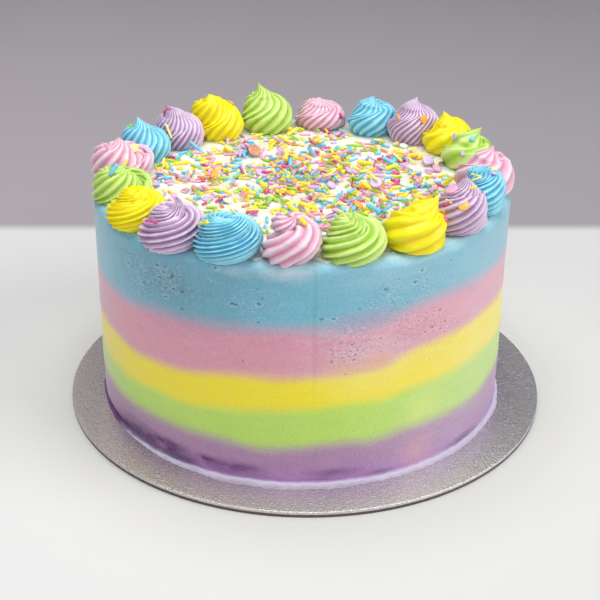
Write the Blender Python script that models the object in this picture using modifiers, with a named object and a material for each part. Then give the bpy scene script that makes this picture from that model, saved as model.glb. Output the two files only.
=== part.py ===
"""Round rainbow cake on its silver card.

The cake stands upright with its axis along +Z. The origin is at the centre of the card's underside.
A tall iced body carries a white top coat with sprinkles, and a ring of twenty piped swirls on the rim.
"""

import math
import random
from typing import NamedTuple

import bmesh
import bpy
from mathutils import Matrix, Vector
from mathutils.bvhtree import BVHTree

MM = 0.001
MERGE = 0.00001
GAP = 0.3 * MM

# Card under the cake
CARD_RADIUS = 127 * MM
CARD_THICKNESS = 3 * MM
CARD_EDGE = 0.8 * MM
CARD_STEPS = 48

# Iced body, a little off the card's centre
CAKE_CENTRE = Vector((-2.7 * MM, 2.3 * MM, 0))
CAKE_RADIUS = 106.5 * MM
CAKE_HEIGHT = 113.7 * MM
RIM_ROUNDING = 4.5 * MM
RIM_FACETS = 3
FOOT_FLARE = 2 * MM
FOOT_HEIGHT = 4 * MM
FOOT_LIP = 1.4 * MM
BODY_STEPS = 48

# White coat, laid in a shallow recess of the body's top
COAT_RADIUS = 99 * MM
COAT_DEPTH = 3 * MM

BODY_BASE = CARD_THICKNESS + GAP
RIM_LEVEL = CARD_THICKNESS + CAKE_HEIGHT

# Piped swirls: one rope of icing wound up into tiers that end in a peak.
# Depths are shares of a swirl's radius, and heights are shares of its height.
SWIRL_BASE = RIM_LEVEL + GAP
SWIRL_HEART = 0.35
SWIRL_RINGS = 13
RING_CROWDING = 0.92
TWIST_TURNS = 0.95
RIDGE_DEPTH = 0.085
RIDGE_AT_BASE = 0.35
RIDGE_GROWTH = 3.0
TIER_DEPTH = 0.14
TIER_PITCH = 0.36
TIER_WIDTH = 0.07
TUCK_DEPTH = 0.10
TUCK_HEIGHT = 0.12
DOME_POWER = 2.3
PEAK_RADIUS = 0.72
PEAK_BLEND = 5
SHARP_ANGLE = math.radians(40)

# Sprinkles on the white coat: the share of a piece that sinks in, and where they lie
SINK = 0.35
SPRINKLE_SEED = 20
SPRINKLE_ZONE = 73 * MM
SPRINKLE_SPREAD = 40 * MM
SPRINKLE_HEAP = Vector((9 * MM, -4 * MM, 0))
SPRINKLE_SPACE = 1.2 * MM
SPRINKLE_CROWDING = 0.62
SPRINKLE_TILT = 0.08
SPRINKLE_TRIES = 4000

ICINGS = {
    "pink": (0.86, 0.50, 0.58, 1.0),
    "green": (0.52, 0.78, 0.20, 1.0),
    "yellow": (0.90, 0.82, 0.06, 1.0),
    "purple": (0.56, 0.42, 0.62, 1.0),
    "blue": (0.33, 0.70, 0.84, 1.0),
}
ORDER = ("pink", "green", "yellow", "purple", "blue")
RIDGES = {"pink": 6, "green": 7, "yellow": 7, "purple": 9, "blue": 9}


class Swirl(NamedTuple):
    """One swirl's own measures, in degrees and millimetres, as uneven as hand piping leaves them.

    The dome is the share of the height below the peak: a flat rosette is nearly all dome.
    """

    angle: float
    reach: float
    width: float
    height: float
    dome: float
    lean: float
    lean_angle: float


SWIRLS = (
    Swirl(175.5, 93.5, 31.0, 19.5, 0.86, 2.0, 100),
    Swirl(196.3, 93.0, 31.0, 15.7, 0.93, 1.5, 60),
    Swirl(215.2, 95.5, 30.0, 17.0, 0.93, 2.0, 70),
    Swirl(232.3, 96.5, 31.5, 20.5, 0.84, 3.0, 60),
    Swirl(250.0, 96.0, 32.0, 20.3, 0.92, 1.0, 180),
    Swirl(267.9, 95.0, 28.3, 21.3, 0.90, 3.0, 110),
    Swirl(284.5, 94.5, 30.5, 20.0, 0.92, 2.0, 80),
    Swirl(302.7, 95.0, 30.0, 22.3, 0.86, 5.5, 40),
    Swirl(321.0, 95.0, 29.0, 26.5, 0.76, 3.5, 160),
    Swirl(338.3, 92.5, 27.5, 20.8, 0.88, 2.0, 90),
    Swirl(354.8, 93.0, 30.0, 22.5, 0.84, 2.5, 30),
    Swirl(17.5, 92.0, 29.0, 19.5, 0.72, 5.0, 350),
    Swirl(32.8, 93.5, 28.5, 22.0, 0.76, 2.0, 180),
    Swirl(48.0, 92.5, 31.0, 23.5, 0.79, 2.5, 20),
    Swirl(65.3, 91.5, 30.0, 21.5, 0.80, 2.0, 160),
    Swirl(84.4, 92.5, 30.5, 16.0, 0.90, 1.5, 20),
    Swirl(103.1, 89.5, 30.5, 27.0, 0.76, 3.0, 180),
    Swirl(124.2, 88.5, 30.5, 24.0, 0.90, 2.5, 190),
    Swirl(143.0, 88.5, 28.5, 23.0, 0.84, 3.0, 200),
    Swirl(160.0, 91.0, 27.8, 22.0, 0.80, 2.5, 150),
)


class Kind(NamedTuple):
    """A kind of sprinkle: radius and length in millimetres, facets, and how many lie on the coat."""

    radius: float
    length: float
    facets: int
    count: int


KINDS = {
    "confetti": Kind(3.1, 0.9, 9, 24),
    "rod": Kind(1.15, 9.0, 6, 24),
    "strand": Kind(0.75, 7.0, 5, 116),
}


class Topping(NamedTuple):
    """A sprinkle stuck to a swirl: its direction from the swirl's heart and its own turn, in degrees."""

    swirl: int
    kind: str
    around: float
    above: float
    turn: float


TOPPINGS = (
    Topping(1, "confetti", 344, 46, 0),
    Topping(2, "rod", 150, 55, 50),
    Topping(4, "strand", 219, 17, 10),
    Topping(6, "rod", 350, 50, 80),
    Topping(9, "rod", 178, 58, 95),
    Topping(9, "confetti", 232, 50, 20),
    Topping(9, "confetti", 275, 22, 0),
    Topping(10, "strand", 225, 62, 50),
    Topping(10, "strand", 235, 35, 35),
    Topping(13, "confetti", 287, 16, 0),
    Topping(14, "confetti", 296, 28, 0),
    Topping(18, "confetti", 330, 60, 0),
    Topping(19, "strand", 263, 18, 120),
)


def clear_scene() -> None:
    """Take away whatever the file holds."""
    for item in list(bpy.data.objects):
        bpy.data.objects.remove(item, do_unlink=True)


def new_collection(name: str) -> bpy.types.Collection:
    """A collection linked to the scene."""
    collection = bpy.data.collections.new(name)
    bpy.context.scene.collection.children.link(collection)
    return collection


def new_material(name: str, colour: tuple, roughness: float, metallic: float = 0.0) -> bpy.types.Material:
    """A Principled material with one colour."""
    material = bpy.data.materials.new(name)
    material.use_nodes = True
    shader = material.node_tree.nodes["Principled BSDF"]
    shader.inputs["Base Color"].default_value = colour
    shader.inputs["Roughness"].default_value = roughness
    shader.inputs["Metallic"].default_value = metallic
    return material


def new_object(name: str, mesh: bpy.types.Mesh, home: bpy.types.Collection,
               material: bpy.types.Material) -> bpy.types.Object:
    """An object in its collection, with one material."""
    mesh.materials.append(material)
    item = bpy.data.objects.new(name, mesh)
    home.objects.link(item)
    return item


def apply_modifiers(item: bpy.types.Object) -> None:
    """Give the object the mesh that its modifiers make, and drop the modifiers."""
    bpy.context.view_layer.update()
    shaped = bpy.data.meshes.new_from_object(item.evaluated_get(bpy.context.evaluated_depsgraph_get()))
    item.modifiers.clear()
    item.data = shaped


def turned(name: str, profile: list, steps: int, home: bpy.types.Collection,
           material: bpy.types.Material) -> bpy.types.Object:
    """A turned solid: the profile runs from the axis at the top, down the outside, to the axis again."""
    mesh = bpy.data.meshes.new(name)
    points = [(radius, 0.0, height) for radius, height in profile]
    mesh.from_pydata(points, [(i, i + 1) for i in range(len(points) - 1)], [])
    item = new_object(name, mesh, home, material)
    screw = item.modifiers.new("turn", "SCREW")
    screw.steps = steps
    screw.render_steps = steps
    screw.use_merge_vertices = True
    screw.merge_threshold = MERGE
    screw.use_smooth_shade = True
    return item


def card_profile() -> list:
    """The card's half section, with the foil's eased edges."""
    return [
        (0.0, CARD_THICKNESS),
        (CARD_RADIUS - CARD_EDGE, CARD_THICKNESS),
        (CARD_RADIUS, CARD_THICKNESS - CARD_EDGE),
        (CARD_RADIUS, CARD_EDGE),
        (CARD_RADIUS - CARD_EDGE, 0.0),
        (0.0, 0.0),
    ]


def rim_arc() -> list:
    """The quarter round from the top of the rim to the upright side."""
    turns = [math.pi / 2 * (1 - i / RIM_FACETS) for i in range(RIM_FACETS + 1)]
    middle = (CAKE_RADIUS - RIM_ROUNDING, RIM_LEVEL - RIM_ROUNDING)
    return [(middle[0] + RIM_ROUNDING * math.cos(t), middle[1] + RIM_ROUNDING * math.sin(t)) for t in turns]


def body_profile() -> list:
    """The body's half section: recess for the white coat, soft rim, upright side and flared foot."""
    floor = RIM_LEVEL - COAT_DEPTH
    recess = [(0.0, floor), (COAT_RADIUS, floor), (COAT_RADIUS, RIM_LEVEL)]
    foot = [
        (CAKE_RADIUS, BODY_BASE + FOOT_HEIGHT),
        (CAKE_RADIUS + FOOT_FLARE, BODY_BASE + FOOT_LIP),
        (CAKE_RADIUS + FOOT_FLARE, BODY_BASE),
        (0.0, BODY_BASE),
    ]
    return recess + rim_arc() + foot


def coat_profile() -> list:
    """The white coat's half section, clear of the recess that holds it."""
    rim = COAT_RADIUS - GAP
    floor = RIM_LEVEL - COAT_DEPTH + GAP
    return [(0.0, RIM_LEVEL), (rim, RIM_LEVEL), (rim, floor), (0.0, floor)]


def swirl_centre(swirl: Swirl) -> Vector:
    """Where the swirl's axis meets the rim."""
    angle = math.radians(swirl.angle)
    reach = swirl.reach * MM
    return CAKE_CENTRE + Vector((reach * math.cos(angle), reach * math.sin(angle), SWIRL_BASE))


def swirl_outline(share: float, dome_share: float) -> float:
    """Radius share of a swirl at a share of its height: a round dome that runs out into a peak."""
    dome = math.sqrt(max(0.0, 1 - (share / dome_share) ** DOME_POWER))
    peak = PEAK_RADIUS * (1 - share)
    tuck = 1 - TUCK_DEPTH * max(0.0, 1 - share / TUCK_HEIGHT)
    return tuck * (dome ** PEAK_BLEND + peak ** PEAK_BLEND) ** (1 / PEAK_BLEND)


def tier_crease(share: float, angle: float) -> float:
    """How deep the crease between two tiers is at a point; it climbs one tier for each turn."""
    tiers = share / TIER_PITCH - angle / math.tau
    distance = (tiers - round(tiers)) * TIER_PITCH
    return TIER_DEPTH * math.exp(-((distance / TIER_WIDTH) ** 2)) * min(1.0, share / TUCK_HEIGHT)


def swirl_point(swirl: Swirl, ring: int, column: int, columns: int) -> Vector:
    """A point of the swirl's surface: columns follow the ridges round, rings climb from base to tip."""
    if ring == 0:
        return Vector((0, 0, 0))
    share = ((ring - 1) / (SWIRL_RINGS - 1)) ** RING_CROWDING
    angle = math.tau * (column / columns + TWIST_TURNS * share)
    ridge = RIDGE_DEPTH * min(1.0, RIDGE_AT_BASE + RIDGE_GROWTH * share)
    radius = swirl.width / 2 * MM * swirl_outline(share, swirl.dome) * (1 - tier_crease(share, angle))
    radius *= 1 + ridge if column % 2 else 1 - ridge
    lean = swirl.lean * MM * share ** 2
    bend = math.radians(swirl.lean_angle)
    return Vector((
        radius * math.cos(angle) + lean * math.cos(bend),
        radius * math.sin(angle) + lean * math.sin(bend),
        swirl.height * MM * share,
    ))


def press_flat(mesh: bmesh.types.BMesh, centre: Vector, neighbour: Vector) -> None:
    """Flatten the side that would run into a neighbour, halfway between the two."""
    away = neighbour - centre
    limit = away.length / 2 - GAP / 2
    away.normalize()
    for point in mesh.verts:
        beyond = (point.co - centre).dot(away) - limit
        if beyond > 0:
            point.co -= away * beyond


def make_swirl(index: int, home: bpy.types.Collection, material: bpy.types.Material) -> bpy.types.Object:
    """One ridged swirl in its place on the rim."""
    swirl = SWIRLS[index]
    colour = ORDER[index % len(ORDER)]
    columns = 2 * RIDGES[colour]
    shape = bmesh.new()
    bmesh.ops.create_uvsphere(shape, u_segments=columns, v_segments=SWIRL_RINGS, radius=1.0)
    centre = swirl_centre(swirl)
    for point in shape.verts:
        ring = round((math.asin(max(-1.0, min(1.0, point.co.z))) / math.pi + 0.5) * SWIRL_RINGS)
        column = round(math.atan2(point.co.y, point.co.x) / math.tau * columns) % columns
        point.co = centre + swirl_point(swirl, ring, column, columns)
    for step in (-1, 1):
        press_flat(shape, centre, swirl_centre(SWIRLS[(index + step) % len(SWIRLS)]))
    bmesh.ops.triangulate(shape, faces=shape.faces[:])
    mesh = bpy.data.meshes.new(f"swirl_{index + 1:02d}_{colour}")
    shape.to_mesh(mesh)
    shape.free()
    mesh.shade_smooth()
    mesh.set_sharp_from_angle(angle=SHARP_ANGLE)
    return new_object(mesh.name, mesh, home, material)


def make_sprinkle(name: str, kind: Kind, place: Matrix, home: bpy.types.Collection) -> bpy.types.Object:
    """One sprinkle: a faceted rod along its own X, or a flat round of confetti."""
    shape = bmesh.new()
    flat = kind.radius > kind.length
    lie = Matrix.Identity(4) if flat else Matrix.Rotation(math.radians(90), 4, "Y")
    bmesh.ops.create_cone(shape, cap_ends=True, segments=kind.facets, radius1=kind.radius * MM,
                          radius2=kind.radius * MM, depth=kind.length * MM, matrix=place @ lie)
    mesh = bpy.data.meshes.new(name)
    shape.to_mesh(mesh)
    shape.free()
    item = bpy.data.objects.new(name, mesh)
    home.objects.link(item)
    return item


def half_thickness(kind: Kind) -> float:
    """Half of what a lying sprinkle stands up."""
    return min(kind.radius, kind.length / 2) * MM


def spread_on_coat(home: bpy.types.Collection) -> None:
    """Lay the sprinkles on the white coat, largest kinds first, thick in the middle and thin outside."""
    draw = random.Random(SPRINKLE_SEED)
    taken = []
    for name, kind in KINDS.items():
        reach = max(kind.radius, kind.length / 2) * MM
        lift = RIM_LEVEL + half_thickness(kind) * (1 - 2 * SINK)
        placed = 0
        for _ in range(SPRINKLE_TRIES):
            if placed == kind.count:
                break
            strayed = Vector((draw.gauss(0, SPRINKLE_SPREAD), draw.gauss(0, SPRINKLE_SPREAD), 0))
            spot = SPRINKLE_HEAP + strayed
            turn = draw.uniform(0, math.pi)
            tilt = draw.uniform(-SPRINKLE_TILT, SPRINKLE_TILT)
            if spot.length + reach > SPRINKLE_ZONE:
                continue
            if any((spot - other).length < reach + size + SPRINKLE_SPACE for other, size in taken):
                continue
            taken.append((spot, reach * SPRINKLE_CROWDING))
            place = (Matrix.Translation(CAKE_CENTRE + spot + Vector((0, 0, lift)))
                     @ Matrix.Rotation(turn, 4, "Z") @ Matrix.Rotation(tilt, 4, "Y"))
            make_sprinkle(f"{name}_{placed}", kind, place, home)
            placed += 1


def stick_on_swirl(index: int, item: bpy.types.Object, home: bpy.types.Collection) -> None:
    """Stick a swirl's own sprinkles to its surface, each along the way it faces from the heart."""
    swirl = SWIRLS[index]
    surface = BVHTree.FromObject(item, bpy.context.evaluated_depsgraph_get())
    heart = swirl_centre(swirl) + Vector((0, 0, swirl.height * MM * SWIRL_HEART))
    for topping in TOPPINGS:
        if topping.swirl != index + 1:
            continue
        kind = KINDS[topping.kind]
        out = Vector((1, 0, 0))
        out.rotate(Matrix.Rotation(-math.radians(topping.above), 3, "Y"))
        out.rotate(Matrix.Rotation(math.radians(topping.around), 3, "Z"))
        hit, _, _, _ = surface.ray_cast(heart + out * swirl.width * MM, -out)
        frame = out.to_track_quat("Z", "Y").to_matrix().to_4x4()
        lift = out * half_thickness(kind) * (1 - 2 * SINK)
        place = Matrix.Translation(hit + lift) @ frame @ Matrix.Rotation(math.radians(topping.turn), 4, "Z")
        make_sprinkle(f"topping_{index}_{topping.kind}_{topping.around}", kind, place, home)


def fuse(item: bpy.types.Object, home: bpy.types.Collection) -> None:
    """Join a collection of sprinkles to what they lie on, and remove them."""
    if not home.objects:
        return
    union = item.modifiers.new("sprinkles", "BOOLEAN")
    union.operation = "UNION"
    union.operand_type = "COLLECTION"
    union.collection = home
    union.solver = "EXACT"
    apply_modifiers(item)
    for sprinkle in list(home.objects):
        bpy.data.objects.remove(sprinkle, do_unlink=True)


def make_cake() -> None:
    """Build the card, the body, the white coat and the ring of swirls."""
    clear_scene()
    cake = new_collection("rainbow_cake")
    toppings = new_collection("toppings")
    foil = new_material("foil", (0.42, 0.40, 0.39, 1.0), 0.35, 0.8)
    side = new_material("side_icing", (0.62, 0.60, 0.58, 1.0), 0.5)
    white = new_material("white_icing", (0.93, 0.90, 0.82, 1.0), 0.5)
    icings = {name: new_material(f"{name}_icing", colour, 0.5) for name, colour in ICINGS.items()}

    turned("cake_board", card_profile(), CARD_STEPS, cake, foil)
    body = turned("cake_body", body_profile(), BODY_STEPS, cake, side)
    body.location = CAKE_CENTRE
    coat = turned("top_icing", coat_profile(), BODY_STEPS, cake, white)
    coat.location = CAKE_CENTRE
    spread_on_coat(toppings)
    fuse(coat, toppings)
    for index in range(len(SWIRLS)):
        swirl = make_swirl(index, cake, icings[ORDER[index % len(ORDER)]])
        stick_on_swirl(index, swirl, toppings)
        fuse(swirl, toppings)


make_cake()
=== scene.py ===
"""Looks of the rainbow cake: banded side icing, piped swirls, sprinkles and a silver card.

Everything is in metres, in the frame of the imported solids. The card's underside is at z = 0 and the
cake stands on it with its axis along +Z. Each finished piece stands for a solid or lies on one.
"""

import logging
import math
import random
from dataclasses import dataclass
from enum import Enum
from typing import Any, Callable, Iterable, NamedTuple, Optional, Sequence, Union

import bpy
import numpy as np
from mathutils import Matrix, Vector
from mathutils.bvhtree import BVHTree


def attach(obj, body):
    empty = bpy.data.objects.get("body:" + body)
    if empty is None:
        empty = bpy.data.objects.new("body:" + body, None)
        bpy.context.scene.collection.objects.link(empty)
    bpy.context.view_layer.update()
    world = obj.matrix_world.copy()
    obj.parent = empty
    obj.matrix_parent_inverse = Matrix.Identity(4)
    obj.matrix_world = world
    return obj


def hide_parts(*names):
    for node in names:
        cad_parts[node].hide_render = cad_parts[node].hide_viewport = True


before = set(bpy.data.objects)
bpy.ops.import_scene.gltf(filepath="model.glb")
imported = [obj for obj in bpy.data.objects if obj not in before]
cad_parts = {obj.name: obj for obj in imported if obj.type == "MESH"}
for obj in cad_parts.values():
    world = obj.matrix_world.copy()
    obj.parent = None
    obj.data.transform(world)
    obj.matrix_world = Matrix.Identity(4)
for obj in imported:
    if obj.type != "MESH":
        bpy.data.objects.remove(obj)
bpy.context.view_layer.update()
LOG = logging.getLogger("rainbow_cake")

Colour = tuple[float, float, float, float]
Section = list[tuple[float, float]]
Face = tuple[int, ...]
MM = 0.001

# Measures shared with the solids
CARD_RADIUS = 127 * MM
CARD_THICKNESS = 3 * MM
CAKE_AXIS = Vector((-2.7 * MM, 2.3 * MM, 0))
CAKE_RADIUS = 106.5 * MM
RIM_LEVEL = 116.7 * MM
RIM_ROUNDING = 4.5 * MM
COAT_RADIUS = 99 * MM
BODY_BASE = 3.3 * MM


def linear(level: float) -> float:
    """Linear light of one screen level from 0 to 255."""
    share = level / 255
    return share / 12.92 if share <= 0.04045 else ((share + 0.055) / 1.055) ** 2.4


def screen(red: float, green: float, blue: float) -> Colour:
    """A colour given in screen levels, as the linear colour that shaders take."""
    return (linear(red), linear(green), linear(blue), 1.0)


# ---- Node trees ----


class Field:
    """One output socket, so that node maths is written as a Python expression."""

    def __init__(self, graph: "Graph", socket: bpy.types.NodeSocket) -> None:
        """Wrap an output socket.

        Args:
            graph: the tree that the socket belongs to.
            socket: the socket itself.
        """
        self.graph = graph
        self.socket = socket

    def __add__(self, other: "Value") -> "Field":
        """This plus the other."""
        return self.graph.maths("ADD", self, other)

    def __radd__(self, other: "Value") -> "Field":
        """The other plus this."""
        return self.graph.maths("ADD", other, self)

    def __sub__(self, other: "Value") -> "Field":
        """This less the other."""
        return self.graph.maths("SUBTRACT", self, other)

    def __rsub__(self, other: "Value") -> "Field":
        """The other less this."""
        return self.graph.maths("SUBTRACT", other, self)

    def __mul__(self, other: "Value") -> "Field":
        """This times the other."""
        return self.graph.maths("MULTIPLY", self, other)

    def __rmul__(self, other: "Value") -> "Field":
        """The other times this."""
        return self.graph.maths("MULTIPLY", other, self)

    def __truediv__(self, other: "Value") -> "Field":
        """This over the other."""
        return self.graph.maths("DIVIDE", self, other)

    def __pow__(self, other: "Value") -> "Field":
        """This to the power of the other."""
        return self.graph.maths("POWER", self, other)

    def __abs__(self) -> "Field":
        """This without its sign."""
        return self.graph.maths("ABSOLUTE", self)

    def over(self, low: "Value", high: "Value", soft: bool = False) -> "Field":
        """Where this stands between two limits, held to 0 and 1.

        Args:
            low: the value that gives 0.
            high: the value that gives 1.
            soft: ease in and out instead of a straight climb.

        Returns:
            The share of the way from low to high.
        """
        settings = {"interpolation_type": "SMOOTHSTEP" if soft else "LINEAR"}
        values = {"Value": self, "From Min": low, "From Max": high}
        return self.graph.add("ShaderNodeMapRange", settings, values)

    def least(self, other: "Value") -> "Field":
        """The smaller of this and the other."""
        return self.graph.maths("MINIMUM", self, other)

    def most(self, other: "Value") -> "Field":
        """The larger of this and the other."""
        return self.graph.maths("MAXIMUM", self, other)

    def part(self, axis: str) -> "Field":
        """One part, X, Y or Z, of this vector."""
        return self.graph.add("ShaderNodeSeparateXYZ", {}, {0: self}, out=axis)


Value = Union[Field, float, int, Sequence[float]]


class Grain(NamedTuple):
    """A noise: how far apart its lumps are in metres, how many finer layers it has, and its seed."""

    size: float
    detail: float = 2.0
    seed: float = 0.0


class Graph:
    """A node tree under construction."""

    def __init__(self, tree: bpy.types.NodeTree) -> None:
        """Start from a tree.

        Args:
            tree: the shader or geometry tree to add to.
        """
        self.tree = tree

    def add(self, kind: str, settings: Optional[dict[str, Any]] = None,
            values: Optional[dict[Union[str, int], Any]] = None, out: Union[str, int] = 0) -> Field:
        """Add a node, its settings first and its sockets after them.

        Args:
            kind: the node's type.
            settings: the node's own properties, where points are those of a float curve.
            values: what each input socket takes, by name or number: a field or a constant.
            out: the output to hand back.

        Returns:
            The chosen output.
        """
        node = self.tree.nodes.new(kind)
        for name, setting in (settings or {}).items():
            if name == "points":
                self.set_points(node.mapping, setting)
            else:
                setattr(node, name, setting)
        for name, value in (values or {}).items():
            self.feed(node.inputs[name], value)
        return Field(self, node.outputs[out])

    def feed(self, socket: bpy.types.NodeSocket, value: Any) -> None:
        """Give an input socket its link or its constant.

        Args:
            socket: the input.
            value: a field to link to it, or a constant.
        """
        if isinstance(value, Field):
            self.tree.links.new(value.socket, socket)
        else:
            socket.default_value = value

    @staticmethod
    def set_points(mapping: bpy.types.CurveMapping, points: Iterable[tuple[float, float]]) -> None:
        """Put a float curve's points in place.

        Args:
            mapping: the curve.
            points: how far along and how high each point lies, from left to right.
        """
        curve = mapping.curves[0]
        for index, (across, up) in enumerate(points):
            if index < 2:
                curve.points[index].location = (across, up)
            else:
                curve.points.new(across, up)
        mapping.update()

    def maths(self, operation: str, first: Value, second: Optional[Value] = None) -> Field:
        """One Math node on one or two values."""
        values = {0: first} if second is None else {0: first, 1: second}
        return self.add("ShaderNodeMath", {"operation": operation}, values)

    def vector(self, operation: str, first: Value, second: Optional[Value] = None,
               out: Union[str, int] = 0) -> Field:
        """One Vector Math node on one or two vectors."""
        values = {0: first} if second is None else {0: first, 1: second}
        return self.add("ShaderNodeVectorMath", {"operation": operation}, values, out)

    def stretched(self, vector: Value, by: Value) -> Field:
        """A vector times a number."""
        return self.add("ShaderNodeVectorMath", {"operation": "SCALE"}, {0: vector, "Scale": by})

    def point(self, across: Value, along: Value, up: Value) -> Field:
        """A vector from its three parts."""
        return self.add("ShaderNodeCombineXYZ", {}, {0: across, 1: along, 2: up})

    def noise(self, where: Value, size: float, detail: float = 2.0, seed: Value = 0.0) -> Field:
        """Soft noise from 0 to 1.

        Args:
            where: the place it is read at.
            size: how far apart its lumps are, in metres.
            detail: how many finer layers it has.
            seed: another seed gives other noise.

        Returns:
            The noise.
        """
        settings = {"noise_dimensions": "4D"}
        values = {"Vector": where, "W": seed, "Scale": 1 / size, "Detail": detail}
        return self.add("ShaderNodeTexNoise", settings, values)


class ShapeTree(Graph):
    """A Geometry Nodes tree with named inputs for its sizes."""

    def __init__(self, name: str) -> None:
        """Start an empty tree with its geometry sockets.

        Args:
            name: the tree's name.
        """
        super().__init__(bpy.data.node_groups.new(name, "GeometryNodeTree"))
        self.tree.interface.new_socket("Geometry", in_out="INPUT", socket_type="NodeSocketGeometry")
        self.tree.interface.new_socket("Geometry", in_out="OUTPUT", socket_type="NodeSocketGeometry")
        self.entry = self.tree.nodes.new("NodeGroupInput")
        self.identifiers: dict[str, str] = {}

    def take(self, name: str, kind: str = "NodeSocketFloat") -> Field:
        """Add a named input.

        Args:
            name: the input's name.
            kind: its socket type.

        Returns:
            The input as a field.
        """
        socket = self.tree.interface.new_socket(name, in_out="INPUT", socket_type=kind)
        self.identifiers[name] = socket.identifier
        return Field(self, self.entry.outputs[name])

    def take_all(self, *names: str, kind: str = "NodeSocketFloat") -> list[Field]:
        """Add several named inputs of one kind."""
        return [self.take(name, kind) for name in names]

    def given(self) -> Field:
        """The geometry that the tree starts from."""
        return Field(self, self.entry.outputs["Geometry"])

    def store(self, geometry: Field, name: str, value: Field) -> Field:
        """Keep a number on each point, under a name."""
        settings = {"data_type": "FLOAT", "domain": "POINT"}
        values = {"Geometry": geometry, "Name": name, "Value": value}
        return self.add("GeometryNodeStoreNamedAttribute", settings, values)

    def recall(self, name: str, kind: str = "FLOAT") -> Field:
        """What is kept on each point under a name."""
        return self.add("GeometryNodeInputNamedAttribute", {"data_type": kind}, {"Name": name})

    def close(self, geometry: Field) -> None:
        """End the tree: real geometry, with the material that the last input names.

        Args:
            geometry: what the tree has made.
        """
        finish = self.take("Finish", "NodeSocketMaterial")
        solid = self.add("GeometryNodeRealizeInstances", {}, {"Geometry": geometry})
        dressed = self.add("GeometryNodeSetMaterial", {}, {"Geometry": solid, "Material": finish})
        end = self.tree.nodes.new("NodeGroupOutput")
        self.feed(end.inputs["Geometry"], dressed)

    def grow(self, item: bpy.types.Object, values: dict[str, Any]) -> bpy.types.Object:
        """Shape an object with this tree and keep the result as its plain mesh.

        Args:
            item: the object to shape.
            values: what each named input takes.

        Returns:
            The same object with its new mesh.
        """
        modifier = item.modifiers.new(self.tree.name, "NODES")
        modifier.node_group = self.tree
        for name, value in values.items():
            modifier[self.identifiers[name]] = value
        item.update_tag()
        bpy.context.view_layer.update()
        shaped = item.evaluated_get(bpy.context.evaluated_depsgraph_get())
        mesh = bpy.data.meshes.new_from_object(shaped)
        item.modifiers.clear()
        item.data = mesh
        mesh.name = item.name
        return item


class Paint(Graph):
    """A material under construction: a Principled shader and the fields that feed it."""

    def __init__(self, name: str) -> None:
        """Start a material.

        Args:
            name: the material's name.
        """
        self.material = bpy.data.materials.new(name)
        self.material.use_nodes = True
        super().__init__(self.material.node_tree)
        self.shader = self.tree.nodes["Principled BSDF"]
        self.place = self.add("ShaderNodeTexCoord", out="Object")

    def mixed(self, share: Value, first: Value, second: Value, way: str = "MIX") -> Field:
        """A colour between two, or one laid over the other in another way."""
        settings = {"data_type": "RGBA", "blend_type": way, "clamp_factor": True}
        return self.add("ShaderNodeMix", settings, {0: share, 6: first, 7: second}, out=2)

    def kept(self, name: str) -> Field:
        """A number that the mesh keeps on its points under a name."""
        return self.add("ShaderNodeAttribute", {"attribute_name": name}, out="Fac")

    def relief(self, height: Field, depth: float) -> Field:
        """A surface raised by a height from 0 to 1, times a depth in metres."""
        return self.add("ShaderNodeBump", {}, {"Height": height, "Distance": depth})

    def dress(self, values: dict[str, Any]) -> bpy.types.Material:
        """Feed the shader's sockets.

        Args:
            values: a constant or a field for each socket.

        Returns:
            The finished material.
        """
        for name, value in values.items():
            self.feed(self.shader.inputs[name], value)
        return self.material


# ---- Meshes and pieces ----


def new_item(name: str, mesh: bpy.types.Mesh) -> bpy.types.Object:
    """Put a mesh in the scene.

    Args:
        name: the object's name.
        mesh: its mesh.

    Returns:
        The object.
    """
    item = bpy.data.objects.new(name, mesh)
    bpy.context.scene.collection.objects.link(item)
    return item


def mesh_of(name: str, points: np.ndarray, faces: list[Face]) -> bpy.types.Mesh:
    """Make a smooth mesh.

    Args:
        name: the mesh's name.
        points: its points.
        faces: its faces, as numbers of points.

    Returns:
        The mesh.
    """
    mesh = bpy.data.meshes.new(name)
    mesh.from_pydata(points.tolist(), [], faces)
    mesh.shade_smooth()
    return mesh


def keep(mesh: bpy.types.Mesh, name: str, kind: str, rows: Iterable[Any]) -> None:
    """Keep a value on each point of a mesh.

    Args:
        mesh: the mesh.
        name: the name that trees and materials ask for.
        kind: FLOAT, FLOAT_VECTOR or FLOAT_COLOR.
        rows: one value, or one row of numbers, for each point.
    """
    slot = {"FLOAT": "value", "FLOAT_VECTOR": "vector", "FLOAT_COLOR": "color"}[kind]
    mesh.attributes.new(name, kind, "POINT").data.foreach_set(slot, np.ravel(rows))


def ring_faces(rows: int, columns: int, first: int) -> list[Face]:
    """Quads between rings of points, each ring closed round.

    Args:
        rows: how many rings, in the order of the half section.
        columns: how many points each ring has.
        first: the number of the first ring's first point.

    Returns:
        The faces, turned outwards where the half section runs down the outside.
    """
    faces = []
    for row in range(rows - 1):
        start = first + row * columns
        for column in range(columns):
            ahead = (column + 1) % columns
            faces.append((start + column, start + columns + column, start + columns + ahead, start + ahead))
    return faces


class Skin(NamedTuple):
    """The points of a turned skin, ring by ring: their angles, radii and heights."""

    angles: np.ndarray
    radii: np.ndarray
    heights: np.ndarray


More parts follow.
